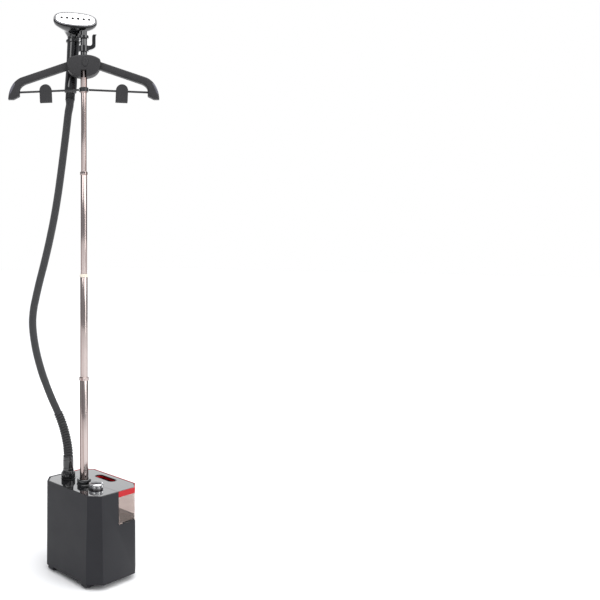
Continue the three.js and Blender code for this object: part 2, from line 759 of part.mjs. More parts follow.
const hookBottom = 1522;
const hookTop = 1571;
const hookReach = 28;
const hookWidth = 11;
const hookBandHeight = 17;
function sideHook() {
  const shape = new THREE.Shape();
  shape.moveTo(0, hookBottom);
  shape.lineTo(hookReach - 4, hookBottom + 7);
  shape.quadraticCurveTo(hookReach + 6, hookBottom + 10, hookReach + 6, hookBottom + 20);
  shape.lineTo(hookReach + 6, hookTop - 4);
  shape.lineTo(hookReach + 9, hookTop);
  shape.lineTo(hookReach - 2, hookTop);
  shape.lineTo(hookReach - 4, hookTop - 6);
  shape.lineTo(hookReach - 4, hookBottom + 22);
  shape.quadraticCurveTo(hookReach - 5, hookBottom + 18, hookReach - 9, hookBottom + hookBandHeight);
  shape.lineTo(0, hookBottom + hookBandHeight);
  const arms = fromFront(shape, -hookWidth / 2, hookWidth / 2);
  const clamp = rod(clampDiameter, hookBottom, hookBottom + hookBandHeight);
  return cut(join(arms, clamp), rod(clampBore, 0, sleeveTop * 2));
}
piece(head, "side_hook", sideHook(), "black");

// ---- handset ----

const handset = holder(head, handleX, handleY, handleTop);
handset.rotation.order = "ZYX";
handset.rotation.z = THREE.MathUtils.degToRad(handsetTurn);
handset.rotation.y = THREE.MathUtils.degToRad(handsetLean);

const tilt = THREE.MathUtils.degToRad(headTilt);

// A point on the sole plane: across, up the plate, and out along the plate's normal.
function soleFrame(geometry) {
  return geometry.rotateX(Math.PI / 2 - tilt).translate(0, -headForward, headRise);
}

// A point of a full oval: an ellipse with its four quarters squared off a little.
const fullness = 0.78;
function ovalPoint(width, depth, angle) {
  const [c, s] = [Math.cos(angle), Math.sin(angle)];
  const full = (value) => Math.sign(value) * Math.abs(value) ** fullness;
  return [(width / 2) * full(c), (depth / 2) * full(s)];
}

function ovalRing(width, depth, out, count = 20) {
  const points = [];
  for (let i = 0; i < count; i += 1) {
    points.push(...ovalPoint(width, depth, (2 * Math.PI * i) / count), out);
  }
  const ring = new THREE.BufferGeometry();
  ring.setAttribute("position", new THREE.Float32BufferAttribute(points, 3));
  const placed = soleFrame(ring).attributes.position;
  return Array.from({ length: count }, (_, i) => new THREE.Vector3().fromBufferAttribute(placed, i));
}

function levelRing(radius, z, count = 16) {
  return Array.from({ length: count }, (_, i) => {
    const a = (2 * Math.PI * i) / count;
    return new THREE.Vector3(radius * Math.cos(a), radius * Math.sin(a), z);
  });
}

const shellWall = 2.5;
const soleThickness = 3;
function headForm(inset) {
  return new ConvexGeometry([
    ...ovalRing(headWidth - 2 * inset, headDepth - 2 * inset, -gap),
    ...ovalRing(headWidth - 10 - 2 * inset, headDepth - 6 - 2 * inset, -17 + inset),
    ...levelRing(handleDiameter / 2 - inset, gap + inset),
  ]);
}

const headShell = cut(
  headForm(0),
  common(headForm(shellWall), soleFrame(block(-farOut, -farOut, -farOut, farOut, farOut, 1))),
  soleFrame(plate(soleOutline(shellWall), -6, 2)),
  rod(handleBore, -5, 30),
);

function soleOutline(inset) {
  const count = 36;
  const points = Array.from({ length: count }, (_, i) => (
    new THREE.Vector2(...ovalPoint(headWidth - 2 * inset, headDepth - 2 * inset, (2 * Math.PI * i) / count))
  ));
  return new THREE.Shape(points);
}

const steamHoles = 6;
const steamHoleSpacing = 16;
const steamHoleDiameter = 7;
function solePlate() {
  const shape = soleOutline(1);
  for (let i = 0; i < steamHoles; i += 1) {
    const hole = new THREE.Path();
    const x = (i - (steamHoles - 1) / 2) * steamHoleSpacing;
    hole.absellipse(x, 2, steamHoleDiameter / 2, steamHoleDiameter / 2, 0, 2 * Math.PI);
    shape.holes.push(hole);
  }
  return soleFrame(plate(shape, 0, soleThickness));
}

piece(handset, "handset_head", headShell, "gloss");
piece(handset, "sole_plate", solePlate(), "silver");
piece(handset, "handset_handle", tube(handleDiameter, handleBore, -handleLength, 0), "gloss");
piece(handset, "handset_collar", tube(
  collarDiameter, handleBore - 4, -handleLength - collarHeight, -handleLength - gap,
), "black");

// ---- hose ----

// Route of the hose's centre line from the top of the cuff to the handset collar, as
// [across, back, up] in the hanger's frame with the pole axis at zero.
const hoseRoute = [
  [-49.2, 57.4, 334], [-49.2, 57.4, 346], [-51.6, 57.3, 368], [-56.6, 57.2, 394],
  [-63.8, 57, 422], [-72.6, 56.7, 448], [-83.4, 56.4, 474], [-97.6, 56, 506],
  [-113.4, 55.4, 546], [-128.6, 54.8, 590], [-142, 54, 640], [-151, 53, 690],
  [-154.6, 52, 735], [-151.6, 50.8, 775], [-144.2, 50, 812], [-134, 49, 856],
  [-119, 47.8, 914], [-103.4, 46.8, 980], [-89, 46, 1050], [-77.2, 45.3, 1120],
  [-67.4, 44.6, 1190], [-59, 44, 1255], [-52.2, 43.5, 1310], [-47, 43.2, 1354],
];
const collarLead = 16;
const belowCollar = (drop) => new THREE.Vector3(0, 0, -handleLength - collarHeight - drop)
  .applyEuler(handset.rotation).add(handset.position);
const hoseCurve = new THREE.CatmullRomCurve3([
  ...hoseRoute.map(([x, y, z]) => new THREE.Vector3(x, y, z)),
  belowCollar(gap + collarLead),
  belowCollar(gap),
]);

class Stretch extends THREE.Curve {
  constructor(whole, from, to) {
    super();
    Object.assign(this, { whole, from, to });
  }

  getPoint(t, target = new THREE.Vector3()) {
    return target.copy(this.whole.getPointAt(this.from + (this.to - this.from) * t));
  }
}

const gapShare = gap / hoseCurve.getLength();
const guard = new Stretch(hoseCurve, 0, guardShare);
const hoseRun = new Stretch(hoseCurve, guardShare + gapShare, 1);
piece(head, "steam_hose", swept(hoseRun, [hoseDiameter, hoseDiameter], 28), "hose");
piece(head, "hose_guard", swept(guard, [guardDiameter, guardDiameter], 8), "rubber");

const nutBottom = fittingFace + 2 + gap;
const neckGap = outletDiameter + 2 * runningGap;
const hoseEnd = holder(base, outletX, fittingRowY, 0);
const cuffTop = hoseRoute[0][2] - gap;
piece(hoseEnd, "hose_nut", turned([
  [neckGap / 2, nutBottom], [nutDiameter / 2 - 2, nutBottom], [nutDiameter / 2, nutBottom + 8],
  [nutDiameter / 2, nutBottom + nutHeight - 4], [cuffDiameter / 2, nutBottom + nutHeight],
  [outletBore / 2, nutBottom + nutHeight], [outletBore / 2, fittingFace + outletRise + gap],
  [neckGap / 2, fittingFace + outletRise + gap], [neckGap / 2, nutBottom],
]), "black");
piece(hoseEnd, "hose_cuff", tube(
  cuffDiameter, outletBore, nutBottom + nutHeight + gap, cuffTop,
), "black");

// The origin is under the middle of the object without its hose, at floor level.
const hosePieces = ["steam_hose", "hose_guard", "hose_nut", "hose_cuff"];
group.updateMatrixWorld(true);
const extent = new THREE.Box3();
group.traverse((object) => {
  if (object.isMesh && !hosePieces.includes(object.name)) extent.expandByObject(object, true);
});
const middle = extent.getCenter(new THREE.Vector3());
group.position.set(-middle.x, -middle.y, 0);
group.updateMatrixWorld(true);

export default group;
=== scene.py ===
"""Upright garment steamer: its finished pieces, materials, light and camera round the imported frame."""

import math

import bmesh
import bpy
from bpy.props import FloatProperty, FloatVectorProperty, IntProperty, PointerProperty
from mathutils import Matrix, Vector
from mathutils.geometry import interpolate_bezier


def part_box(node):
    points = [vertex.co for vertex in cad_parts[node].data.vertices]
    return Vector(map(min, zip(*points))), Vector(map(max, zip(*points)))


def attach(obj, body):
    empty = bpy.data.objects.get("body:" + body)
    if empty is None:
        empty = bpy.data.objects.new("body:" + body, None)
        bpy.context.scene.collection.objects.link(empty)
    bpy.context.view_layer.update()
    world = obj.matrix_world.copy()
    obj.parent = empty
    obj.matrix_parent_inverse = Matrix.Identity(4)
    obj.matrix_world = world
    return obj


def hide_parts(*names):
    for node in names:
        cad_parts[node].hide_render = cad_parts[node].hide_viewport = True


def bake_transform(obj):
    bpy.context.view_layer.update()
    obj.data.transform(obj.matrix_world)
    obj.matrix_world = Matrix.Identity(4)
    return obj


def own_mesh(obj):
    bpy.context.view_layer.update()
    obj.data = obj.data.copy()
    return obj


bl_info = {
    "name": "Garment steamer",
    "version": (1, 0, 0),
    "blender": (4, 5, 0),
    "location": "3D View > Sidebar > Steamer",
    "description": "Builds the finished pieces of an upright garment steamer round its frame",
    "category": "Object",
}

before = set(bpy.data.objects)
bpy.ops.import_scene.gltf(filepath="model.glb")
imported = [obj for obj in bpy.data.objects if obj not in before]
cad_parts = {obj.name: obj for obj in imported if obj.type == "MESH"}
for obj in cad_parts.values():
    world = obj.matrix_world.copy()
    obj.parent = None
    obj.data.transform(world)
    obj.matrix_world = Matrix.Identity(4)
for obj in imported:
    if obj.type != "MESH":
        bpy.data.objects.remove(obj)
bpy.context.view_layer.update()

# Places shared by several pieces, in metres. The pole's axis is the frame's own Z axis.
HANGER_TURN = math.radians(49.5)
HANGER = Matrix.Rotation(HANGER_TURN, 4, "Z")
HANDSET = (
    HANGER
    @ Matrix.Translation((-0.0307, 0.043, 1.572))
    @ Matrix.Rotation(math.radians(6), 4, "Z")
    @ Matrix.Rotation(math.radians(3.5), 4, "Y")
)
UPRIGHT = Matrix.Rotation(math.pi / 2, 4, "X")
CROSSWISE = Matrix.Rotation(math.pi / 2, 4, "Y")
SOLE = HANDSET @ Matrix.Translation((0, -0.034, 0.045)) @ Matrix.Rotation(math.radians(57), 4, "X")

# The trouser rods run from the ring under the block out and down to the arm tips.
ROD_HEIGHT = 1.414
ROD_START = 0.0135
ROD_REACH = 0.192
ROD_DROP = 0.0075
ROD_PITCH = math.atan2(ROD_DROP, ROD_REACH - ROD_START)

# The hose is swept in even steps, with this many sides.
HOSE_STEP = 0.004
HOSE_SIDES = 28

# The hose's centre line above its cuff, across, back and up in the hanger's turned frame.
HOSE_ROUTE = [
    (-0.0492, 0.0574, 0.334), (-0.0492, 0.0574, 0.346), (-0.0516, 0.0573, 0.368),
    (-0.0566, 0.0572, 0.394), (-0.0638, 0.057, 0.422), (-0.0726, 0.0567, 0.448),
    (-0.0834, 0.0564, 0.474), (-0.0976, 0.056, 0.506), (-0.1134, 0.0554, 0.546),
    (-0.1286, 0.0548, 0.59), (-0.142, 0.054, 0.64), (-0.151, 0.053, 0.69),
    (-0.1546, 0.052, 0.735), (-0.1516, 0.0508, 0.775), (-0.1442, 0.05, 0.812),
    (-0.134, 0.049, 0.856), (-0.119, 0.0478, 0.914), (-0.1034, 0.0468, 0.98),
    (-0.089, 0.046, 1.05), (-0.0772, 0.0453, 1.12), (-0.0674, 0.0446, 1.19),
    (-0.059, 0.044, 1.255), (-0.0522, 0.0435, 1.31), (-0.047, 0.0432, 1.354),
    (-0.0426, 0.0418, 1.3761), (-0.0416, 0.0419, 1.392),
]


def low(node):
    """The lowest corner of a frame node."""
    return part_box(node)[0]


def high(node):
    """The highest corner of a frame node."""
    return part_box(node)[1]


def centre(node):
    """The middle of a frame node's box."""
    return (low(node) + high(node)) / 2


def width(node):
    """A frame node's size along X, which is a round piece's diameter."""
    return high(node).x - low(node).x


def heights(node):
    """A frame node's lowest and highest point."""
    return low(node).z, high(node).z


# ---- sizes and colours ----


class SteamerSizes(bpy.types.PropertyGroup):
    """Sizes of the finished pieces"""

    hose_diameter: FloatProperty(
        name="Hose diameter", description="Outside diameter of the steam hose",
        default=0.0225, min=0.01, unit="LENGTH")
    guard_pitch: FloatProperty(
        name="Guard pitch", description="Distance between the ribs of the bend guard",
        default=0.0078, min=0.002, unit="LENGTH")
    groove: FloatProperty(
        name="Panel groove", description="Width of the dark groove round the top panels",
        default=0.0022, min=0.0, unit="LENGTH")
    edge: FloatProperty(
        name="Moulded edge", description="Rounding of the casing's edges",
        default=0.0009, min=0.0001, unit="LENGTH")
    knurls: IntProperty(
        name="Knurls", description="Grip ridges round the steam knob", default=84, min=12)
    steam_holes: IntProperty(
        name="Steam holes", description="Holes in a row across the sole plate", default=6, min=1)
    hole_diameter: FloatProperty(
        name="Steam hole diameter", description="Diameter of each steam hole",
        default=0.0086, min=0.001, unit="LENGTH")
    steps: IntProperty(
        name="Turning steps", description="Facets round a turned piece", default=72, min=12)


def tint(name, description, colour):
    """A colour property with its default."""
    return FloatVectorProperty(
        name=name, description=description, default=colour, subtype="COLOR", size=3, min=0, max=1)


class SteamerFinishes(bpy.types.PropertyGroup):
    """Colours of the finishes"""

    casing: tint("Casing", "Satin charcoal plastic of the base", (0.0086, 0.0087, 0.0116))
    gloss: tint("Gloss", "Black lacquer of the panels and the handset", (0.004, 0.004, 0.005))
    red: tint("Band", "Red band and grip pocket of the tank", (0.42, 0.006, 0.010))
    smoke: tint("Tank", "Smoke brown of the clear tank", (0.665, 0.592, 0.562))
    hanger: tint("Hanger", "Matt plastic of the hanger and clips", (0.021, 0.0205, 0.022))
    steel: tint("Pole", "Polished steel of the pole", (0.49, 0.42, 0.40))
    hose: tint("Hose", "Sleeve of the steam hose", (0.018, 0.0185, 0.020))
    floor: tint("Floor", "Studio floor", (0.90, 0.90, 0.905))


def sizes():
    """The scene's sizes."""
    return bpy.context.scene.steamer_sizes


def colours():
    """The scene's colours."""
    return bpy.context.scene.steamer_finishes


# ---- modelling helpers ----


def spun(profile, closed=True, steps=None):
    """Spins an outline of (radius, height) points a full turn about Z."""
    bm = bmesh.new()
    verts = [bm.verts.new((r, 0, z)) for r, z in profile]
    edges = [bm.edges.new(pair) for pair in zip(verts, verts[1:])]
    if closed:
        edges.append(bm.edges.new((verts[-1], verts[0])))
    bmesh.ops.spin(
        bm, geom=verts + edges, axis=(0, 0, 1), cent=(0, 0, 0), angle=math.tau,
        steps=steps or sizes().steps, use_merge=True, use_duplicate=False)
    bmesh.ops.remove_doubles(bm, verts=bm.verts, dist=1e-6)
    bmesh.ops.recalc_face_normals(bm, faces=bm.faces)
    return bm


def slab(outline, bottom, top):
    """A flat plate of a closed outline, from one height to another."""
    bm = bmesh.new()
    face = bm.faces.new([bm.verts.new((x, y, bottom)) for x, y in outline])
    lift(bm, [face], (0, 0, top - bottom))
    bmesh.ops.recalc_face_normals(bm, faces=bm.faces)
    return bm


def lift(bm, faces, move):
    """Extrudes faces by a vector and gives the moved faces back."""
    grown = bmesh.ops.extrude_face_region(bm, geom=faces)["geom"]
    bmesh.ops.translate(bm, vec=move, verts=[g for g in grown if isinstance(g, bmesh.types.BMVert)])
    return [g for g in grown if isinstance(g, bmesh.types.BMFace)]


def grow_ring(bm, edges):
    """Extrudes a ring of edges in place and gives the new ring's vertices and edges back."""
    grown = bmesh.ops.extrude_edge_only(bm, edges=edges)["geom"]
    ring = [g for g in grown if isinstance(g, bmesh.types.BMVert)]
    edges = [g for g in grown if isinstance(g, bmesh.types.BMEdge)]
    return ring, [e for e in edges if all(v in ring for v in e.verts)]


def round_off(bm, edges, radius):
    """Gives edges a full round."""
    bmesh.ops.bevel(
        bm, geom=edges, offset=radius, segments=6, profile=0.5, affect="EDGES", material=-1,
        clamp_overlap=False)


def facing_up(bm):
    """The faces that look straight up."""
    bm.normal_update()
    return [f for f in bm.faces if f.normal.z > 0.99]


def cut(bm, point, away):
    """Cuts a solid at a plane, drops what lies on the side away and closes the opening."""
    made = bmesh.ops.bisect_plane(
        bm, geom=[*bm.verts, *bm.edges, *bm.faces], dist=1e-6, plane_co=point, plane_no=away,
        clear_outer=True)
    rim = [e for e in made["geom_cut"] if isinstance(e, bmesh.types.BMEdge)]
    bmesh.ops.contextual_create(bm, geom=rim)
    return bm


def pierced(outline, holes, bottom, top):
    """A flat plate with holes through it."""
    bm = bmesh.new()
    edges = []
    for loop in [outline, *holes]:
        verts = [bm.verts.new((x, y, bottom)) for x, y in loop]
        edges += [bm.edges.new(pair) for pair in zip(verts, verts[1:] + verts[:1])]
    bmesh.ops.triangle_fill(bm, use_beauty=True, use_dissolve=False, edges=edges, normal=(0, 0, 1))
    lift(bm, bm.faces[:], (0, 0, top - bottom))
    bmesh.ops.recalc_face_normals(bm, faces=bm.faces)
    return bm


def swept(points, radii, sides=32, section=(1, 1), caps=True):
    """A tube along points: one ring is extruded from place to place, with its own radius at each."""
    bm = bmesh.new()
    places = ring_places(points, section)
    bmesh.ops.create_circle(bm, segments=sides, radius=1, matrix=places[0] @ Matrix.Scale(radii[0], 4))
    edges = bm.edges[:]
    if caps:
        bmesh.ops.contextual_create(bm, geom=edges)
    for i in range(1, len(points)):
        before = places[i - 1] @ Matrix.Scale(radii[i - 1], 4)
        after = places[i] @ Matrix.Scale(radii[i], 4)
        ring, edges = grow_ring(bm, edges)
        bmesh.ops.transform(bm, matrix=after @ before.inverted(), verts=ring)
    if caps:
        bmesh.ops.contextual_create(bm, geom=edges)
    bmesh.ops.recalc_face_normals(bm, faces=bm.faces)
    return bm


def ring_places(points, section):
    """Matrices that stand a unit ring square to a path at each of its points, without twist."""
    places = []
    last = None
    for i, point in enumerate(points):
        way = (points[min(i + 1, len(points) - 1)] - points[max(i - 1, 0)]).normalized()
        if last is None:
            turn = way.to_track_quat("Z", "Y")
        else:
            turn = last[0].rotation_difference(way) @ last[1]
        last = (way, turn)
        shape = Matrix.Diagonal((section[0], section[1], 1, 1))
        places.append(Matrix.Translation(point) @ turn.to_matrix().to_4x4() @ shape)
    return places


def smooth_line(points, per_span=8):
    """A smooth line through points."""
    line = []
    points = [Vector(p) for p in points]
    ends = [2 * points[0] - points[1], *points, 2 * points[-1] - points[-2]]
    for a, b, c, d in zip(ends, ends[1:], ends[2:], ends[3:]):
        line += interpolate_bezier(b, b + (c - a) / 6, c - (d - b) / 6, c, per_span + 1)[:-1]
    return [*line, points[-1]]


def even_line(points, step):
    """The same line with its points an even step apart."""
    out = [points[0]]
    carry = 0.0
    for a, b in zip(points, points[1:]):
        span = (b - a).length
        at = step - carry
        while at <= span:
            out.append(a.lerp(b, at / span))
            at += step
        carry = span - (at - step)
    if (out[-1] - points[-1]).length > step * 0.2:
        out.append(points[-1])
    return out


def bend(start, control, end, count=8):
    """Points along a quadratic curve, without its last one."""
    start, control, end = Vector(start), Vector(control), Vector(end)
    points = []
    for i in range(count):
        t = i / count
        points.append(start.lerp(control, t).lerp(control.lerp(end, t), t).to_tuple())
    return points


def oval(width_, depth, count=48, middle=(0, 0)):
    """The outline of an ellipse."""
    turns = [math.tau * i / count for i in range(count)]
    return [(middle[0] + width_ / 2 * math.cos(a), middle[1] + depth / 2 * math.sin(a)) for a in turns]


def full_oval(width_, depth, count=72):
    """The outline of an ellipse with its four quarters squared off a little."""
    return [
        (width_ / 2 * fuller(math.cos(math.tau * i / count)),
         depth / 2 * fuller(math.sin(math.tau * i / count)))
        for i in range(count)
    ]


def fuller(value):
    """A sine or cosine pushed outwards."""
    fullness = 0.78
    return math.copysign(abs(value) ** fullness, value)


def slot_outline(length, depth, middle=(0, 0), count=16):
    """The outline of a slot with round ends."""
    run, r = (length - depth) / 2, depth / 2
    points = []
    for side, start in ((1, -0.5), (-1, 0.5)):
        for i in range(count + 1):
            a = math.pi * (start + i / count)
            points.append((middle[0] + side * run + r * math.cos(a), middle[1] + r * math.sin(a)))
    return points


def together(*parts):
    """Several meshes as one."""
    whole = parts[0]
    for part in parts[1:]:
        scrap = bpy.data.meshes.new("scrap")
        part.to_mesh(scrap)
        part.free()
        whole.from_mesh(scrap)
        bpy.data.meshes.remove(scrap)
    return whole


def placed(bm, matrix):
    """The same mesh, moved."""
    bmesh.ops.transform(bm, matrix=matrix, verts=bm.verts)
    if matrix.determinant() < 0:
        bmesh.ops.reverse_faces(bm, faces=bm.faces)
    return bm


def merged_copy(node):
    """A frame node's shape with its triangles merged into whole faces."""
    bm = bmesh.new()
    bm.from_mesh(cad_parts[node].data)
    bmesh.ops.remove_doubles(bm, verts=bm.verts, dist=2e-6)
    bmesh.ops.dissolve_limit(
        bm, angle_limit=math.radians(0.8), verts=bm.verts, edges=bm.edges, use_dissolve_boundaries=False)
    return bm


def piece(name, bm, body, finish, stands_for=(), edge=0.0, rounds=3, levels=0, sharp=38):
    """Makes a finished piece: mesh, material, rounded edges, the body it moves with."""
    mesh = bpy.data.meshes.new(name)
    bm.to_mesh(mesh)
    bm.free()
    mesh.shade_smooth()
    mesh.set_sharp_from_angle(angle=math.radians(sharp))
    made = bpy.data.objects.new(name, mesh)
    bpy.context.scene.collection.objects.link(made)
    mesh.materials.append(finish)
    if edge:
        bevel = made.modifiers.new("Rounded edges", "BEVEL")
        bevel.width = edge
        bevel.segments = rounds
        bevel.limit_method = "ANGLE"
        bevel.angle_limit = math.radians(32)
        bevel.harden_normals = True
    if levels:
        soft = made.modifiers.new("Smooth form", "SUBSURF")
        soft.levels = levels
        soft.render_levels = levels
    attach(made, body)
    if stands_for:
        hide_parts(*stands_for)
    return made


# ---- finishes ----


def material(name, colour, roughness, metallic=0.0, **sockets):
    """A material with one shader, or the one of that name if it is made already."""
    made = bpy.data.materials.get(name)
    if made:
        return made, None
    made = bpy.data.materials.new(name)
    made.use_nodes = True
    shader = made.node_tree.nodes["Principled BSDF"]
    shader.inputs["Base Color"].default_value = (*colour, 1)
    shader.inputs["Roughness"].default_value = roughness
    shader.inputs["Metallic"].default_value = metallic
    for socket, value in sockets.items():
        shader.inputs[socket.replace("_", " ")].default_value = value
    return made, shader


class Surface:
    """Adds surface detail to a material's shader."""

    def __init__(self, made, shader, stretch=(1, 1, 1), source="Object"):
        self.nodes, self.links, self.shader = made.node_tree.nodes, made.node_tree.links, shader
        where = self.nodes.new("ShaderNodeTexCoord")
        self.mapping = self.nodes.new("ShaderNodeMapping")
        self.mapping.inputs["Scale"].default_value = stretch
        self.links.new(where.outputs[source], self.mapping.inputs["Vector"])
        self.normal = None

    def noise(self, scale, detail=4.0, rough=0.55):
        """Fine noise."""
        node = self.nodes.new("ShaderNodeTexNoise")
        node.inputs["Scale"].default_value = scale
        node.inputs["Detail"].default_value = detail
        node.inputs["Roughness"].default_value = rough
        self.links.new(self.mapping.outputs["Vector"], node.inputs["Vector"])
        return node.outputs["Fac"]

    def bands(self, scale, direction="Z", distortion=0.0):
        """Stripes across one direction."""
        node = self.nodes.new("ShaderNodeTexWave")
        node.bands_direction = direction
        node.inputs["Scale"].default_value = scale
        node.inputs["Distortion"].default_value = distortion
        self.links.new(self.mapping.outputs["Vector"], node.inputs["Vector"])
        return node.outputs["Fac"]

    def cells(self, scale):
        """Rounded cells."""
        node = self.nodes.new("ShaderNodeTexVoronoi")
        node.inputs["Scale"].default_value = scale
        self.links.new(self.mapping.outputs["Vector"], node.inputs["Vector"])
        return node.outputs["Distance"]

    def relief(self, height, strength, distance):
        """Bumps from a pattern; each call adds to the last."""
        bump = self.nodes.new("ShaderNodeBump")
        bump.inputs["Strength"].default_value = strength
        bump.inputs["Distance"].default_value = distance
        self.links.new(height, bump.inputs["Height"])
        if self.normal:
            self.links.new(self.normal, bump.inputs["Normal"])
        self.normal = bump.outputs["Normal"]
        self.links.new(self.normal, self.shader.inputs["Normal"])

    def gloss_range(self, pattern, dull, bright):
        """Roughness that wanders between two values."""
        span = self.nodes.new("ShaderNodeMapRange")
        span.inputs["From Min"].default_value = 0.3
        span.inputs["From Max"].default_value = 0.7
        span.inputs["To Min"].default_value = bright
        span.inputs["To Max"].default_value = dull
        self.links.new(pattern, span.inputs["Value"])
        self.links.new(span.outputs["Result"], self.shader.inputs["Roughness"])

    def colour_range(self, pattern, first, second, start=0.35, end=0.65):
        """Base colour that wanders between two colours."""
        ramp = self.nodes.new("ShaderNodeValToRGB")
        ramp.color_ramp.elements[0].position = start
        ramp.color_ramp.elements[0].color = (*first, 1)
        ramp.color_ramp.elements[1].position = end
        ramp.color_ramp.elements[1].color = (*second, 1)
        self.links.new(pattern, ramp.inputs["Fac"])
        self.links.new(ramp.outputs["Color"], self.shader.inputs["Base Color"])


def shade(colour, share):
    """A colour made lighter or darker by a share."""
    return tuple(min(1.0, c * share) for c in colour)


def finished(
        name, colour, roughness, metallic=0.0, *, relief, tones=None, gloss=None, stretch=(1, 1, 1),
        **sockets):
    """A material whose colour, roughness and relief follow noise.

    Each of the three starts with the noise's scale and detail. Tones go on with the darkest and lightest
    share of the colour, gloss with the dull and the bright roughness, relief with its strength and depth.
    """
    made, shader = material(name, colour, roughness, metallic, **sockets)
    if not shader:
        return made
    detail = Surface(made, shader, stretch)
    if tones:
        scale, fine, dark, light = tones
        detail.colour_range(detail.noise(scale, fine), shade(colour, dark), shade(colour, light))
    if gloss:
        scale, fine, dull, bright = gloss
        detail.gloss_range(detail.noise(scale, fine), dull, bright)
    scale, fine, strength, depth = relief
    detail.relief(detail.noise(scale, fine), strength, depth)
    return made


def casing_plastic():
    """Satin charcoal plastic with a fine moulded grain."""
    return finished(
        "Casing plastic", colours().casing, 0.42, Specular_IOR_Level=0.29,
        tones=(9, 4, 0.93, 1.08), gloss=(14, 4, 0.47, 0.38), relief=(1900, 3, 0.16, 0.0002))


def panel_gloss():
    """Black lacquer that mirrors the room, with a few soft wipe marks."""
    return finished(
        "Panel gloss", colours().gloss, 0.05, Coat_Weight=0.6, Coat_Roughness=0.03, IOR=1.6,
        gloss=(22, 6, 0.075, 0.035), relief=(26, 2, 0.02, 0.001))


def handset_gloss():
    """Deep black moulded gloss of the handset and the sleeve."""
    return finished(
        "Handset gloss", colours().gloss, 0.12, Coat_Weight=0.7, Coat_Roughness=0.05,
        gloss=(30, 5, 0.17, 0.09), relief=(60, 2, 0.03, 0.0006))


def fitting_black():
    """Black moulded plastic of threads, collars and rods."""
    return finished(
        "Fitting black", (0.012, 0.012, 0.013), 0.38,
        gloss=(70, 4, 0.46, 0.3), relief=(1500, 3, 0.15, 0.0002))


def hanger_plastic():
    """Matt fine-textured plastic of the hanger, arms and clips."""
    return finished(
        "Hanger plastic", colours().hanger, 0.5, Specular_IOR_Level=0.34,
        tones=(12, 4, 0.92, 1.1), gloss=(20, 4, 0.62, 0.5), relief=(2400, 2, 0.25, 0.0002))


def tip_painted_highlight():
    """Smooth grey gloss strip along the arm tips: a painted highlight for light caught on their rounded outer
    edge.
    """
    return finished(
        "Tip painted highlight", (0.085, 0.083, 0.105), 0.2, Coat_Weight=0.4, Coat_Roughness=0.1,
        gloss=(45, 4, 0.28, 0.17), relief=(900, 2, 0.05, 0.0002))


def tank_red():
    """Red gloss plastic of the tank's band and grip."""
    return finished(
        "Tank red", colours().red, 0.2, Specular_IOR_Level=0.3,
        tones=(16, 4, 0.92, 1.06), gloss=(32, 4, 0.25, 0.16), relief=(130, 2, 0.02, 0.0005))


def tank_smoke():
    """Clear smoke-brown plastic with faint flow marks."""
    return finished(
        "Tank smoke", colours().smoke, 0.02, Transmission_Weight=1.0, IOR=1.08, Coat_Weight=0.5,
        Coat_Roughness=0.03,
        tones=(7, 2, 0.9, 1.08), gloss=(18, 4, 0.05, 0.015), relief=(36, 2, 0.015, 0.0005))


def pole_steel():
    """Polished steel tube with fine lengthwise streaks, dark rose brown in places: partly drawing lines,
    partly painted reflection of dark bands along the tube.
    """
    colour = colours().steel
    made, shader = material("Pole steel", colour, 0.16, 1.0)
    if shader:
        detail = Surface(made, shader, stretch=(1, 1, 0.004))
        # The dark rose-brown streaks are partly drawing lines and partly painted reflection of dark
        # surroundings running along the tube.
        rose = (colour[0] * 0.42, colour[1] * 0.30, colour[2] * 0.28)
        detail.colour_range(detail.noise(115, 3), rose, shade(colour, 1.05), 0.45, 0.60)
        detail.gloss_range(detail.noise(420), 0.21, 0.11)
        detail.relief(detail.noise(1400, 2), 0.02, 0.0002)
    return made


def bright_chrome():
    """Bright plating."""
    return finished(
        "Bright chrome", (0.78, 0.78, 0.79), 0.07, 1.0,
        gloss=(60, 5, 0.11, 0.04), relief=(90, 2, 0.02, 0.0004))


def sole_metal():
    """Pale brushed alloy of the sole plate."""
    return finished(
        "Sole alloy", (0.83, 0.83, 0.835), 0.27, 0.55, stretch=(0.05, 1, 1),
        tones=(500, 4, 0.95, 1.04), gloss=(700, 4, 0.33, 0.22), relief=(1600, 2, 0.05, 0.0002))


def satin_rim():
    """Satin grey metal of the sole plate's rim and the knob's face."""
    return finished(
        "Satin rim", (0.10, 0.10, 0.105), 0.25, 1.0, gloss=(80, 4, 0.3, 0.2), relief=(900, 2, 0.03, 0.0002))


def turned_brass():
    """Brass with fine turning rings."""
    made, shader = material("Turned brass", (0.58, 0.26, 0.06), 0.2, 1.0)
    if shader:
        detail = Surface(made, shader)
        detail.gloss_range(detail.noise(120), 0.27, 0.14)
        detail.relief(detail.bands(700), 0.08, 0.0002)
    return made


def cream_plastic():
    """Cream nylon of a bush and the steam pipe."""
    return finished(
        "Cream nylon", (0.79, 0.73, 0.62), 0.45, tones=(40, 4, 0.93, 1.04), relief=(900, 2, 0.1, 0.0002))


def hose_sleeve():
    """Dark grey woven sleeve of the hose, on the hose's own UV map."""
    colour = colours().hose
    made, shader = material("Hose sleeve", colour, 0.72, Sheen_Weight=0.25)
    if shader:
        detail = Surface(made, shader, source="UV")
        weave = detail.bands(1.0, "DIAGONAL")
        detail.colour_range(weave, shade(colour, 0.82), shade(colour, 1.2), 0.2, 0.8)
        detail.relief(weave, 0.35, 0.0005)
        detail.relief(detail.noise(60, 3), 0.1, 0.0002)
    return made


def guard_rubber():
    """Soft black rubber of the bend guard, gland and rollers."""
    return finished(
        "Guard rubber", (0.02, 0.02, 0.021), 0.6, gloss=(50, 4, 0.7, 0.52), relief=(1300, 3, 0.2, 0.0002))


def cast_alloy():
    """Cast alloy of the heater."""
    return finished(
        "Cast alloy", (0.33, 0.33, 0.325), 0.55, 1.0, tones=(60, 4, 0.8, 1.1), relief=(700, 5, 0.5, 0.0005))


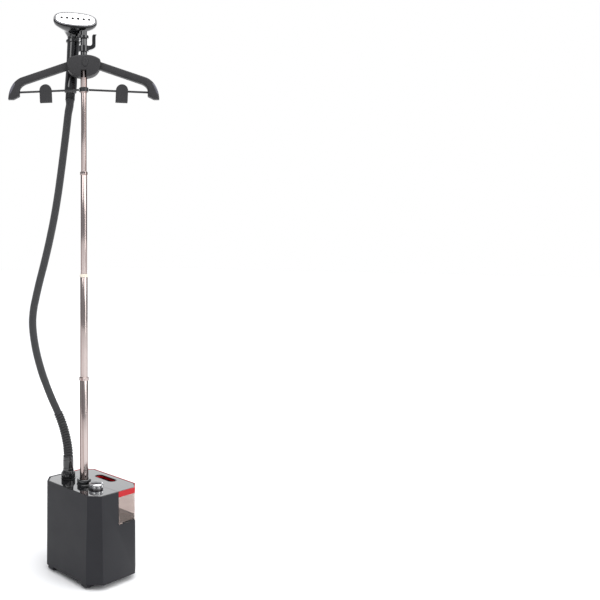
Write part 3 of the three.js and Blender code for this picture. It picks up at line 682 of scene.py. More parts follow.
def board_green():
    """Green lacquer of the control board with its tracks."""
    colour = (0.016, 0.11, 0.035)
    made, shader = material("Board lacquer", colour, 0.4)
    if shader:
        detail = Surface(made, shader)
        detail.colour_range(detail.bands(160, "Y", 6.0), shade(colour, 0.7), shade(colour, 1.5))
        detail.relief(detail.cells(400), 0.2, 0.0003)
    return made


def floor_paint():
    """Pale studio floor."""
    return finished(
        "Floor paint", colours().floor, 0.8, tones=(1.3, 4, 0.992, 1.005), relief=(500, 2, 0.02, 0.0003))


# ---- operators ----


class STEAMER_OT_stage(bpy.types.Operator):
    """Lays the pale floor and sets the soft studio lights and the camera"""

    bl_idname = "steamer.stage"
    bl_label = "Floor, lights and camera"

    def execute(self, context):
        bm = bmesh.new()
        bmesh.ops.create_grid(bm, x_segments=8, y_segments=8, size=30)
        mesh = bpy.data.meshes.new("studio_floor")
        bm.to_mesh(mesh)
        bm.free()
        floor = bpy.data.objects.new("studio_floor", mesh)
        mesh.materials.append(floor_paint())
        context.scene.collection.objects.link(floor)
        floor.location.z = -0.0005

        self.room(context)
        self.softbox("key_light", azimuth=8, height=40, distance=2.9, size=(1.3, 1.3), power=16)
        self.softbox("side_light", azimuth=104, height=20, distance=3.0, size=(0.8, 2.6), power=21)
        self.softbox("back_light", azimuth=232, height=6, distance=3.2, size=(3.2, 2.0), power=22)
        self.softbox("top_light", azimuth=75, height=84, distance=2.6, size=(1.1, 1.1), power=8)
        sun = bpy.data.lights.new("window_light", "SUN")
        sun.energy = 3.1
        sun.angle = math.radians(95)
        light = bpy.data.objects.new("window_light", sun)
        light.rotation_euler = self.away(azimuth=98, height=62).to_track_quat("Z", "Y").to_euler()
        context.scene.collection.objects.link(light)

        lens = bpy.data.cameras.new("camera")
        lens.sensor_width = 36
        lens.lens = 44.0
        lens.shift_x = 0.331
        lens.shift_y = -0.036
        camera = bpy.data.objects.new("camera", lens)
        context.scene.collection.objects.link(camera)
        camera.location = (1.653, -1.348, 0.944)
        camera.rotation_euler = (math.radians(90 - 1.98), 0, math.radians(49.44))
        context.scene.camera = camera
        return {"FINISHED"}

    def room(self, context):
        """A white backdrop that lights the room more dimly than it looks."""
        context.scene.view_settings.view_transform = "Standard"
        world = bpy.data.worlds.new("Studio")
        world.use_nodes = True
        nodes, links = world.node_tree.nodes, world.node_tree.links
        backdrop = nodes["Background"]
        backdrop.inputs["Color"].default_value = (1, 1, 1, 1)
        backdrop.inputs["Strength"].default_value = 1.0
        dim = nodes.new("ShaderNodeBackground")
        dim.inputs["Color"].default_value = (0.93, 0.95, 1.0, 1)
        dim.inputs["Strength"].default_value = 0.40
        ray = nodes.new("ShaderNodeLightPath")
        straight = nodes.new("ShaderNodeMath")
        straight.operation = "MAXIMUM"
        links.new(ray.outputs["Is Camera Ray"], straight.inputs[0])
        links.new(ray.outputs["Is Transmission Ray"], straight.inputs[1])
        mix = nodes.new("ShaderNodeMixShader")
        links.new(straight.outputs["Value"], mix.inputs["Fac"])
        links.new(dim.outputs["Background"], mix.inputs[1])
        links.new(backdrop.outputs["Background"], mix.inputs[2])
        links.new(mix.outputs["Shader"], nodes["World Output"].inputs["Surface"])
        context.scene.world = world

    def away(self, azimuth, height):
        """The direction towards a light from the steamer."""
        a, h = math.radians(azimuth), math.radians(height)
        return Vector((math.sin(a) * math.cos(h), -math.cos(a) * math.cos(h), math.sin(h)))

    def softbox(self, name, azimuth, height, distance, size, power):
        """A soft rectangular light aimed at the middle of the steamer."""
        lamp = bpy.data.lights.new(name, "AREA")
        lamp.shape = "RECTANGLE"
        lamp.size, lamp.size_y = size
        lamp.energy = power
        away = self.away(azimuth, height)
        light = bpy.data.objects.new(name, lamp)
        light.location = Vector((0, 0, 0.75)) + away * distance
        light.rotation_euler = away.to_track_quat("Z", "Y").to_euler()
        bpy.context.scene.collection.objects.link(light)


class STEAMER_OT_hose(bpy.types.Operator):
    """Hangs the steam hose from the base to the handset, with its guard, cuff, nut and boot"""

    bl_idname = "steamer.hose"
    bl_label = "Steam hose"

    def execute(self, context):
        outlet = centre("outlet_liner")
        top = high("outlet_liner").z
        route = [Vector((outlet.x, outlet.y, top)), Vector((outlet.x, outlet.y, (top + 0.334) / 2))]
        route += [HANGER @ Vector(p) for p in HOSE_ROUTE]
        line = even_line(smooth_line(route), HOSE_STEP)
        radius = sizes().hose_diameter / 2

        hose = piece(
            "hose_sleeve", swept(line, [radius] * len(line), HOSE_SIDES), "root", hose_sleeve(),
            ["steam_hose"])
        self.wrap_map(hose, HOSE_STEP)

        guard_bottom, guard_top, boot_bottom = 0.331, high("hose_guard").z - 0.003, 1.358
        guard = self.guard([p for p in line if guard_bottom < p.z < guard_top])
        nut, cuff = self.nut(outlet), self.cuff(outlet)
        boot = self.boot([p for p in line if p.z > boot_bottom])
        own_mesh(hose)
        return {"FINISHED"}

    def wrap_map(self, hose, step):
        """A UV map that counts weave turns round the hose and along it."""
        turns_round, turns_per_metre = 12, 190
        mesh = hose.data
        layer = mesh.uv_layers.new(name="Weave")
        for polygon in mesh.polygons:
            if len(polygon.vertices) != 4:
                continue
            columns = [v % HOSE_SIDES for v in polygon.vertices]
            wraps = max(columns) - min(columns) > 2
            for loop, vertex in zip(polygon.loop_indices, polygon.vertices):
                row, column = divmod(vertex, HOSE_SIDES)
                column += HOSE_SIDES if wraps and column == 0 else 0
                layer.data[loop].uv = (column / HOSE_SIDES * turns_round, row * step * turns_per_metre)

    def guard(self, line):
        """The ribbed bend guard, which thins towards its top."""
        step = 0.00085
        fine = even_line(line, step)
        radii = []
        for i in range(len(fine)):
            share = i / (len(fine) - 1)
            ridge = 0.5 + 0.5 * math.cos(math.tau * i * step / sizes().guard_pitch)
            radii.append(0.0148 - 0.0010 * share - 0.0026 * (1 - ridge) ** 1.5)
        return piece(
            "hose_guard_ribbed", swept(fine, radii, 32), "root", guard_rubber(), ["hose_guard"])

    def nut(self, outlet):
        """The hand nut: a tapered drum with grip ribs down its side."""
        bottom, top = heights("hose_nut")
        r = width("hose_nut") / 2 - 0.0012
        cuff = width("hose_cuff") / 2
        outline = [
            (r - 0.0055, bottom + 0.0005), (r - 0.0008, bottom), (r, bottom + 0.001), (r, bottom + 0.0135),
            (r - 0.0016, top - 0.0045), (cuff + 0.0012, top - 0.0008), (cuff, top), (cuff - 0.004, top),
            (r - 0.0055, top - 0.006),
        ]
        parts = [spun(outline, steps=96)]
        count = 18
        for i in range(count):
            section = [(-0.0016, 0), (0.0016, 0), (0.0011, 0.0016), (-0.0011, 0.0016)]
            rib = slab(section, bottom + 0.0012, top - 0.006)
            turn = Matrix.Rotation(math.tau * i / count, 4, "Z")
            parts.append(placed(rib, turn @ Matrix.Translation((0, r - 0.0006, 0))))
        bm = placed(together(*parts), Matrix.Translation((outlet.x, outlet.y, 0)))
        return piece("hose_hand_nut", bm, "root", handset_gloss(), ["hose_nut"], 0.0004)

    def cuff(self, outlet):
        """The smooth cuff between the nut and the guard, with two fine rings."""
        bottom, top = heights("hose_cuff")
        r = width("hose_cuff") / 2
        outline = [
            (r - 0.0045, bottom), (r, bottom), (r, bottom + 0.006), (r - 0.0009, bottom + 0.0068),
            (r - 0.0009, bottom + 0.0085), (r, bottom + 0.0093), (r, top - 0.012),
            (r - 0.0009, top - 0.0112), (r - 0.0009, top - 0.0095), (r - 0.0002, top - 0.0087),
            (r - 0.0006, top - 0.001), (r - 0.0022, top), (r - 0.0045, top),
        ]
        bm = placed(spun(outline), Matrix.Translation((outlet.x, outlet.y, 0)))
        return piece("hose_cuff_smooth", bm, "root", handset_gloss(), ["hose_cuff"], 0.0003)

    def boot(self, line):
        """The short boot that carries the hose into the handset's collar."""
        radius = sizes().hose_diameter / 2
        step = 0.002
        fine = even_line(line, step)
        last = len(fine) - 1
        radii = [radius + 0.0004 + 0.0011 * min(1, max(0, (i / last - 0.8) / 0.08)) for i in range(last + 1)]
        made = piece("hose_top_boot", swept(fine, radii, HOSE_SIDES), "pole_top", hose_sleeve(), ())
        self.wrap_map(made, step)
        made.parent = None
        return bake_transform(made)


class STEAMER_OT_casing(bpy.types.Operator):
    """Builds the charcoal casing, its front panel, the tray under it and the cord gland"""

    bl_idname = "steamer.casing"
    bl_label = "Base casing"

    def execute(self, context):
        piece(
            "casing_shell", merged_copy("body_shell"), "root", casing_plastic(), ["body_shell"],
            sizes().edge)
        piece(
            "casing_tray", merged_copy("base_tray"), "root", casing_plastic(), ["base_tray"],
            0.0006)
        self.front_panel()
        self.gland()
        return {"FINISHED"}

    def front_panel(self):
        """The gloss front panel, pierced for its fittings."""
        neck, pole, shaft = 0.0312, 0.0330, 0.0092
        holes = [
            oval(neck, neck, 40, centre("steam_outlet").xy),
            oval(pole, pole, 40, (0, 0)),
            oval(shaft, shaft, 24, centre("control_knob").xy),
        ]
        outer, inner = panel_outlines("top_panel", front=True)
        bm = stepped_panel(outer, inner, holes, low("top_panel").z, high("top_panel").z)
        piece("front_panel", bm, "root", panel_gloss(), ["top_panel"], 0.0004)

    def gland(self):
        """The tapered strain relief where the mains lead enters."""
        lo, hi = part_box("cord_gland")
        outline = [
            (0.0036, 0), (0.0068, 0), (0.0068, 0.0096), (0.0098, 0.0096), (0.0098, 0.0118),
            (0.0074, 0.0128), (0.0062, 0.016), (0.0036, 0.016),
        ]
        middle = (lo + hi) / 2
        place = Matrix.Translation((middle.x, lo.y, middle.z)) @ Matrix.Rotation(-math.pi / 2, 4, "X")
        bm = placed(spun(outline, steps=40), place)
        piece("lead_gland", bm, "root", guard_rubber(), ["cord_gland"], 0.0004)


def panel_outlines(node, front):
    """A top panel's outline, and the same drawn in by the groove everywhere but at the seam."""
    lo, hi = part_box(node)
    outlines = []
    chamfer, narrowing = 0.0272, 0.59
    for inset in (0, sizes().groove):
        corner = chamfer - inset * narrowing
        left, right = lo.x + inset, hi.x - inset
        if front:
            seam, far, turn = hi.y, lo.y + inset, 1
        else:
            seam, far, turn = lo.y, hi.y - inset, -1
        outlines.append([
            (left, seam), (left, far + turn * corner), (left + corner, far),
            (right - corner, far), (right, far + turn * corner), (right, seam),
        ])
    return outlines


def stepped_panel(outer, inner, holes, bottom, top):
    """A pierced panel on a thin ledge, which leaves a dark groove at the casing's rim."""
    ledge = bottom + 0.0008
    return together(pierced(outer, holes, bottom, ledge), pierced(inner, holes, ledge - 0.0002, top))


class STEAMER_OT_fittings(bpy.types.Operator):
    """Builds the pole socket, the threaded steam outlet and the steam knob"""

    bl_idname = "steamer.fittings"
    bl_label = "Panel fittings"

    def execute(self, context):
        face = high("top_panel").z
        self.socket(face)
        self.outlet(face)
        self.knob()
        return {"FINISHED"}

    def socket(self, face):
        """The raised ring that holds the pole."""
        lo, top = heights("pole_socket")
        r = width("pole_socket") / 2
        bore = width("pole_lower_tube") / 2 + 0.0005
        outline = [
            (0.0005, lo), (0.016, lo), (0.016, face - 0.004), (r + 0.0012, face + 0.0001),
            (r + 0.0012, face + 0.0012), (r - 0.0003, face + 0.0022), (r, top - 0.0035),
            (r - 0.0006, top - 0.0013), (r - 0.0022, top), (bore + 0.0018, top), (bore, top - 0.0014),
            (bore, lo + 0.004), (0.0005, lo + 0.004),
        ]
        piece(
            "pole_socket_ring", spun(outline, steps=96), "root", handset_gloss(), ["pole_socket"],
            0.0003)

    def outlet(self, face):
        """The threaded neck, its flange and the brass liner inside it."""
        middle = centre("steam_outlet")
        lo, top = heights("steam_outlet")
        flange = width("steam_outlet") / 2
        neck, bore = 0.015, 0.0126
        outline = [(bore, lo), (neck, lo), (neck, face + 0.0001), (flange, face + 0.0001),
                   (flange, face + 0.0011), (flange - 0.0012, face + 0.0017), (neck - 0.001, face + 0.0019)]
        pitch = 0.0016
        turns = 7
        for i in range(turns):
            z = face + 0.0024 + i * pitch
            outline += [(neck - 0.001, z), (neck, z + pitch * 0.3), (neck, z + pitch * 0.55)]
        outline += [(neck - 0.001, top - 0.0008), (neck - 0.0016, top), (bore, top)]
        place = Matrix.Translation((middle.x, middle.y, 0))
        piece(
            "outlet_neck", placed(spun(outline, steps=96), place), "root", fitting_black(), ["steam_outlet"])

        lo, top = heights("outlet_liner")
        r = width("outlet_liner") / 2
        liner = [(r - 0.0021, lo), (r, lo), (r, top - 0.0006), (r - 0.0008, top), (r - 0.0021, top)]
        piece(
            "outlet_brass", placed(spun(liner), place), "root", turned_brass(), ["outlet_liner"],
            0.0002)

    def knob(self):
        """The chrome steam knob on its base ring: knurled band, bevel, domed cap and satin face."""
        middle = centre("control_knob")
        place = Matrix.Translation((middle.x, middle.y, 0))
        r = width("knob_ring") / 2
        bottom, top = heights("knob_ring")
        ring = [(0.006, bottom), (r, bottom), (r, bottom + 0.0008), (r - 0.0012, top - 0.0004),
                (r - 0.0018, top), (0.006, top)]
        piece(
            "knob_base", placed(spun(ring, steps=96), place), "root", handset_gloss(), ["knob_ring"],
            0.0002)

        r = width("control_knob") / 2
        lo, foot, top = low("control_knob").z, high("knob_ring").z + 0.0003, high("control_knob").z
        shaft = 0.004
        outline = [
            (0, lo), (shaft, lo), (shaft, foot), (r - 0.0018, foot), (r - 0.0008, foot + 0.0012),
            (r - 0.0008, top - 0.0063), (r - 0.0002, top - 0.0058), (r - 0.0001, top - 0.0046),
            (r - 0.0019, top - 0.0024), (r - 0.0027, top - 0.0021), (r - 0.0035, top - 0.0024),
            (r - 0.0042, top - 0.0019), (r * 0.62, top - 0.0007), (r * 0.33, top - 0.0001), (0, top),
        ]
        cap = spun(outline, closed=False, steps=96)
        whole = together(cap, self.knurled_band(r, foot + 0.0016, top - 0.0066))
        rim = r - 0.0046
        dish = [
            (0, top - 0.0004), (rim, top - 0.0024), (rim, top - 0.0012), (rim * 0.7, top - 0.0001),
            (0, top + 0.0004),
        ]
        piece(
            "knob_face", placed(spun(dish, closed=False, steps=96), place), "knob", satin_rim(), ())
        piece("steam_knob", placed(whole, place), "knob", bright_chrome(), ["control_knob"], 0.0002)

    def knurled_band(self, r, bottom, top):
        """A ring of fine upright ridges."""
        bm = bmesh.new()
        count = sizes().knurls * 2
        foot = Matrix.Translation((0, 0, bottom))
        bmesh.ops.create_circle(bm, segments=count, radius=r - 0.0003, matrix=foot)
        valleys = [v for i, v in enumerate(bm.verts) if i % 2]
        bmesh.ops.scale(bm, vec=(0.968, 0.968, 1), verts=valleys)
        ring, _ = grow_ring(bm, bm.edges[:])
        bmesh.ops.translate(bm, vec=(0, 0, top - bottom), verts=ring)
        for height in (bottom, top):
            rim = [e for e in bm.edges if all(abs(v.co.z - height) < 1e-7 for v in e.verts)]
            bmesh.ops.contextual_create(bm, geom=rim)
        bmesh.ops.recalc_face_normals(bm, faces=bm.faces)
        return bm


class STEAMER_OT_rollers(bpy.types.Operator):
    """Builds the four rollers with their grooved treads"""

    bl_idname = "steamer.rollers"
    bl_label = "Rollers"

    def execute(self, context):
        for corner in ("front_left", "front_right", "rear_left", "rear_right"):
            node = f"roller_{corner}"
            r = (high(node).z - low(node).z) / 2
            half = width(node) / 2
            bore = 0.0023
            outline = [
                (bore, -half), (r - 0.0045, -half), (r - 0.004, -half + 0.0014), (r - 0.0025, -half + 0.0014),
                (r - 0.0012, -half), (r, -half + 0.0015), (r, -0.0009), (r - 0.0007, -0.0004),
                (r - 0.0007, 0.0004), (r, 0.0009), (r, half - 0.0015), (r - 0.0012, half),
                (r - 0.0025, half - 0.0014), (r - 0.004, half - 0.0014), (r - 0.0045, half), (bore, half),
            ]
            place = Matrix.Translation(centre(node)) @ CROSSWISE
            bm = placed(spun(outline, steps=64), place)
            piece(f"{node}_tread", bm, node, guard_rubber(), [node], 0.0002)
        return {"FINISHED"}


class STEAMER_OT_tank(bpy.types.Operator):
    """Builds the lift-out water tank: smoke shell, red band, lid, grip pocket and valve"""

    bl_idname = "steamer.tank"
    bl_label = "Water tank"

    def execute(self, context):
        piece(
            "tank_smoke_shell", merged_copy("tank_shell"), "tank", tank_smoke(), ["tank_shell"],
            0.0008)
        piece("tank_red_band", merged_copy("lid_band"), "tank", tank_red(), ["lid_band"], 0.0009)
        self.lid()
        self.pocket()
        self.valve()
        return {"FINISHED"}

    def lid(self):
        """The gloss lid with its grip slot and the dark rim round the slot."""
        lo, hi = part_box("tank_lid")
        pocket = centre("grip_pocket")
        slot = slot_outline(0.084, 0.030, (pocket.x, pocket.y))
        outer, inner = panel_outlines("tank_lid", front=False)
        bm = stepped_panel(outer, inner, [slot], lo.z, hi.z)
        piece("tank_gloss_lid", bm, "tank", panel_gloss(), ["tank_lid"], 0.0004)
        rim = pierced(
            slot_outline(0.0838, 0.0298, (pocket.x, pocket.y)),
            [slot_outline(0.0794, 0.0254, (pocket.x, pocket.y))], lo.z + 0.0002, hi.z + 0.0002)
        piece("grip_rim", rim, "tank", fitting_black(), (), 0.0005)

    def pocket(self):
        """The finger pocket under the slot: red upper walls and a dark dished floor."""
        lo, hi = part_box("grip_pocket")
        middle = (lo + hi) / 2
        split = hi.z - 0.0065
        outer = slot_outline(hi.x - lo.x, hi.y - lo.y, (middle.x, middle.y))
        inner = slot_outline(hi.x - lo.x - 0.005, hi.y - lo.y - 0.005, (middle.x, middle.y))
        walls = pierced(outer, [inner], split, hi.z)
        piece("grip_pocket_red", walls, "tank", tank_red(), ["grip_pocket"], 0.0008)
        bm = slab(outer, lo.z, split)
        mouth = facing_up(bm)
        bmesh.ops.inset_region(bm, faces=mouth, thickness=0.0025, use_even_offset=True)
        floor = max(facing_up(bm), key=lambda f: f.calc_area())
        lift(bm, [floor], (0, 0, lo.z - split + 0.002))
        bmesh.ops.recalc_face_normals(bm, faces=bm.faces)
        piece("grip_pocket_floor", bm, "tank", fitting_black(), (), 0.0012, 4)

    def valve(self):
        """The sprung valve in the tank's floor."""
        lo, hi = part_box("tank_valve")
        middle = (lo + hi) / 2
        outline = [
            (0, 0), (0.003, 0), (0.003, 0.004), (0.008, 0.004), (0.008, 0.0068), (0.011, 0.0068),
            (0.011, 0.0165), (0.0102, 0.018), (0.0078, 0.0195), (0.0066, 0.0275), (0.0048, 0.03), (0, 0.03),
        ]
        bm = placed(spun(outline, closed=False), Matrix.Translation((middle.x, middle.y, lo.z)))
        piece("tank_valve_body", bm, "tank", hanger_plastic(), ["tank_valve"], 0.0004)


class STEAMER_OT_pole(bpy.types.Operator):
    """Builds the four pole sections with their bushes and the top sleeve"""

    bl_idname = "steamer.pole"
    bl_label = "Telescopic pole"

    def execute(self, context):
        bodies = {"lower": "root", "middle": "pole_middle", "upper": "pole_upper", "top": "pole_top"}
        for section, body in bodies.items():
            node = f"pole_{section}_tube"
            lo, hi = heights(node)
            r = width(node) / 2
            outline = [
                (r - 0.001, lo), (r - 0.0002, lo), (r, lo + 0.0003), (r, hi - 0.0006),
                (r - 0.0004, hi), (r - 0.001, hi),
            ]
            piece(f"pole_{section}_steel", spun(outline), body, pole_steel(), [node])
        for section in ("lower", "middle", "upper"):
            self.bush(section, bodies[section])
        self.sleeve()
        return {"FINISHED"}

    def bush(self, section, body):
        """The collar at the top of a section, with a rounded lip and a grip ring."""
        node = f"pole_{section}_bush"
        lo, hi = heights(node)
        r = width(node) / 2
        seat = width(f"pole_{section}_tube") / 2 + 0.0001
        inner = {"lower": 0.0115, "middle": 0.010, "upper": 0.0085}[section]
        outline = [
            (seat, lo), (r - 0.0003, lo), (r, lo + 0.0006), (r, lo + 0.0042), (r - 0.0006, lo + 0.0046),
            (r - 0.0006, lo + 0.0058), (r, lo + 0.0062), (r, hi - 0.0012), (r - 0.0011, hi),
            (inner + 0.0004, hi), (inner, hi - 0.0005), (inner, hi - 0.0018), (seat, hi - 0.0018),
        ]
        cream = section == "middle"
        finish = cream_plastic() if cream else pole_steel()
        piece(f"{node}_ring", spun(outline), body, finish, [node])

    def sleeve(self):
        """The sleeve that carries the hanger block: steel below, black with a domed cap above."""
        lo, hi = heights("top_sleeve")
        r = width("top_sleeve") / 2
        bore = width("pole_top_tube") / 2 + 0.0003
        split = 1.480
        steel = [(bore, lo), (r - 0.0006, lo), (r, lo + 0.0008), (r, split), (bore, split)]
        piece("pole_sleeve_steel", spun(steel), "pole_top", pole_steel(), ())
        black = [
            (0, split), (r, split), (r, hi - 0.0032), (r - 0.0007, hi - 0.0013), (r - 0.0028, hi - 0.0003),
            (0, hi),
        ]
        piece(
            "pole_sleeve_black", spun(black, closed=False), "pole_top", handset_gloss(), ["top_sleeve"])


class STEAMER_OT_hanger(bpy.types.Operator):
    """Builds the hanger block, its release button, the arms, trouser rods and their ring"""

    bl_idname = "steamer.hanger"
    bl_label = "Garment hanger"

    def execute(self, context):
        self.block()
        self.button()
        for name, side in (("left", -1), ("right", 1)):
            self.arm(name, side)
        self.ring()
        return {"FINISHED"}

    def block(self):
        """The moulded block in two halves; the front one is notched where the pole shows."""
        front, seam, back = -0.023, 0.0, 0.017
        notch, crown = 0.008, 1.467
        left = cut(self.half_block(front, seam, front), (-notch, 0, 0), (1, 0, 0))
        right = cut(self.half_block(front, seam, front), (notch, 0, 0), (-1, 0, 0))
        middle = cut(self.half_block(front, seam, front), (-notch, 0, 0), (-1, 0, 0))
        middle = cut(cut(middle, (notch, 0, 0), (1, 0, 0)), (0, 0, crown), (0, 0, -1))
        whole = together(left, right, middle, self.half_block(seam, back, back))
        piece(
            "hanger_block_shell", placed(whole, HANGER), "hanger", hanger_plastic(), ["hanger_block"])

    def block_outline(self):
        """The block seen from its front: a convex top, round sides and a deep round bottom."""
        w, top, bottom = 0.049, 1.510, 1.448
        shoulder, waist = top - 0.012, top - 0.026
        right = bend((0, top), (w * 0.62, top), (w * 0.93, shoulder), 10)
        right += bend((w * 0.93, shoulder), (w, shoulder - 0.004), (w, waist), 5)
        right += bend((w, waist), (w * 0.9, bottom), (0, bottom), 14)
        return [*right, (0, bottom), *[(-x, z) for x, z in reversed(right[1:])]]

    def half_block(self, near, far, rounded):
        """One half of the block with a full round on its outer rim."""
        bm = placed(slab(self.block_outline(), -far, -near), UPRIGHT)
        rim = [e for e in bm.edges if all(abs(v.co.y - rounded) < 1e-6 for v in e.verts)]
        round_off(bm, rim, 0.0042)
        return bm

    def button(self):
        """The oval release button with a dished face, and a dark ring round it as painted shade in its gap.
        """
        bm = slab(oval(0.017, 0.026), 0, 0.0098)
        top = max(facing_up(bm), key=lambda f: f.calc_center_median().z)
        for inset, move in ((0.0012, 0.0008), (0.0016, 0.0002), (0.002, -0.0004)):
            bmesh.ops.inset_region(bm, faces=[top], thickness=inset, use_even_offset=True)
            bmesh.ops.translate(bm, vec=(0, 0, move), verts=top.verts)
        place = HANGER @ Matrix.Translation((0.004, -0.0142, 1.489)) @ UPRIGHT
        piece(
            "release_button_cap", placed(bm, place), "button", hanger_plastic(), ["release_button"],
            0.0003)
        # The black ring round the button is painted shade: a dark sheet where the gap round the button falls
        # in shadow.
        gap = pierced(oval(0.0196, 0.0286), [oval(0.0174, 0.0264)], 0.0082, 0.0091)
        piece("button_painted_gap_shade", placed(gap, place), "hanger", fitting_black(), ())

    def arm(self, name, side):
        """One arm with its drooped tip, a grey strip along the tip that paints a highlight on its rounded
        edge, and the trouser rod.
        """
        outline, crest = self.arm_outline(side)
        bm = placed(slab(outline, -0.012, 0.012), UPRIGHT)
        rims = [e for e in bm.edges if abs(e.verts[0].co.y - e.verts[1].co.y) < 1e-6]
        round_off(bm, rims, 0.0052)
        piece(f"arm_{name}_moulded", placed(bm, HANGER), "hanger", hanger_plastic(), [f"arm_{name}"])

        # The strip along the tip is a painted highlight: a lighter gloss band standing for light caught on
        # the arm's rounded front edge.
        inward = Vector((-0.0034 * side, 0, -0.0026))
        band = even_line([Vector((x, -0.0098, z)) + inward for x, z in crest], 0.002)
        last = len(band) - 1
        radii = [0.0037 * math.sin(math.pi * (0.04 + 0.92 * i / last)) ** 0.6 for i in range(last + 1)]
        piece(f"arm_{name}_painted_highlight", placed(swept(band, radii, 24), HANGER), "hanger", tip_painted_highlight(), ())

        start, length, r = 0.0138, ROD_REACH - 0.0138, 0.0029
        outline = [
            (0, start), (r - 0.0003, start), (r, start + 0.0004), (r, start + length), (0, start + length),
        ]
        aim = Matrix.Rotation(0 if side > 0 else math.pi, 4, "Z") @ Matrix.Rotation(ROD_PITCH, 4, "Y")
        height = Matrix.Translation((0, 0, ROD_HEIGHT + ROD_START * math.tan(ROD_PITCH)))
        bm = placed(spun(outline, closed=False, steps=32), HANGER @ height @ aim @ CROSSWISE)
        piece(f"rod_{name}_bar", bm, "hanger", fitting_black(), [f"rod_{name}"])

    def arm_outline(self, side):
        """One arm seen from its front, and the crest line of its drooped tip."""
        slope, reach, tip, rod = math.radians(18.6), 0.2175, 1.386, ROD_HEIGHT - ROD_DROP
        half = 0.0105 / math.cos(slope)
        root, bend_x, inner = 0.022, reach - 0.036, reach - 0.033

        def fall(x):
            return 1.481 - (x - 0.049) * math.tan(slope)

        crest = bend((bend_x, fall(bend_x) + half), (reach - 0.003, fall(bend_x) - 0.005), (reach, tip), 14)
        under_x = bend_x - 0.015
        under = (under_x, fall(under_x) - half)
        outline = [(root, fall(root) + half), *crest, (reach, tip)]
        outline += [(inner + 0.018, tip), (inner, tip + 0.009)]
        outline += bend((inner, rod + 0.005), (inner - 0.002, fall(bend_x) - half - 0.002), under, 8)
        outline += [under, (root, fall(root) - half)]
        turn = 1 if side > 0 else -1
        return [(turn * x, z) for x, z in outline][::turn], [(turn * x, z) for x, z in crest[4:-1]]

    def ring(self):
        """The ring under the block that the trouser rods spring from."""
        lo, hi = heights("rod_ring")
        r, bore = 0.0135, 0.010
        outline = [
            (bore, lo), (r - 0.001, lo), (r, lo + 0.001), (r, lo + 0.0042), (r - 0.0007, lo + 0.0048),
            (r - 0.0007, hi - 0.0048), (r, hi - 0.0042), (r, hi - 0.001), (r - 0.001, hi), (bore, hi),
        ]
        piece("rod_ring_collar", spun(outline), "hanger", fitting_black(), ["rod_ring"], 0.0002)


class STEAMER_OT_clips(bpy.types.Operator):
    """Builds the two trouser clips, each with a front leaf and a sprung jaw"""

    bl_idname = "steamer.clips"
    bl_label = "Trouser clips"

    def execute(self, context):
        for name, side in (("left", -1), ("right", 1)):
            reach = 0.110
            height = ROD_HEIGHT - (reach - ROD_START) * math.tan(ROD_PITCH)
            place = HANGER @ Matrix.Translation((side * reach, 0, height))
            place = place @ Matrix.Rotation(side * ROD_PITCH, 4, "Y")
            node = f"clip_{name}"
            leaf = together(self.leaf(-0.0075, -0.004), self.barrel(-0.009, 0.009), self.ribs(-0.004))
            piece(f"{node}_leaf", placed(leaf, place), node, hanger_plastic(), [node], 0.0007)
            ears = [self.barrel(-0.0175, -0.0103), self.barrel(0.0103, 0.0175)]
            jaw = together(self.leaf(0.004, 0.0075), *ears, self.ribs(0.004))
            piece(
                f"{node}_jaw_leaf", placed(jaw, place), f"{node}_jaw", hanger_plastic(), [f"{node}_jaw"],
                0.0007)
        return {"FINISHED"}

    def leaf(self, near, far):
        """A leaf with a round top and a flat foot."""
        w, foot, top = 0.0175, -0.032, 0.019
        turns = [math.pi * i / 24 for i in range(25)]
        crown = [(w * math.cos(a), top - w + w * math.sin(a)) for a in turns]
        bm = slab([(-w, foot), (w, foot), *crown], 0, far - near)
        return placed(bm, Matrix.Translation((0, far, 0)) @ UPRIGHT)

    def barrel(self, start, end):
        """A short tube that runs on the trouser rod."""
        bm = spun([(0.003, start), (0.006, start), (0.006, end), (0.003, end)], steps=40)
        return placed(bm, CROSSWISE)

    def ribs(self, face):
        """Three grip ribs across the foot of a leaf."""
        parts = []
        for i in range(3):
            bm = bmesh.new()
            bmesh.ops.create_cone(bm, cap_ends=True, segments=12, radius1=0.0008, radius2=0.0008, depth=0.028)
            move = Matrix.Translation((0, face, -0.0285 + i * 0.0035)) @ CROSSWISE
            parts.append(placed(bm, move))
        return together(*parts)


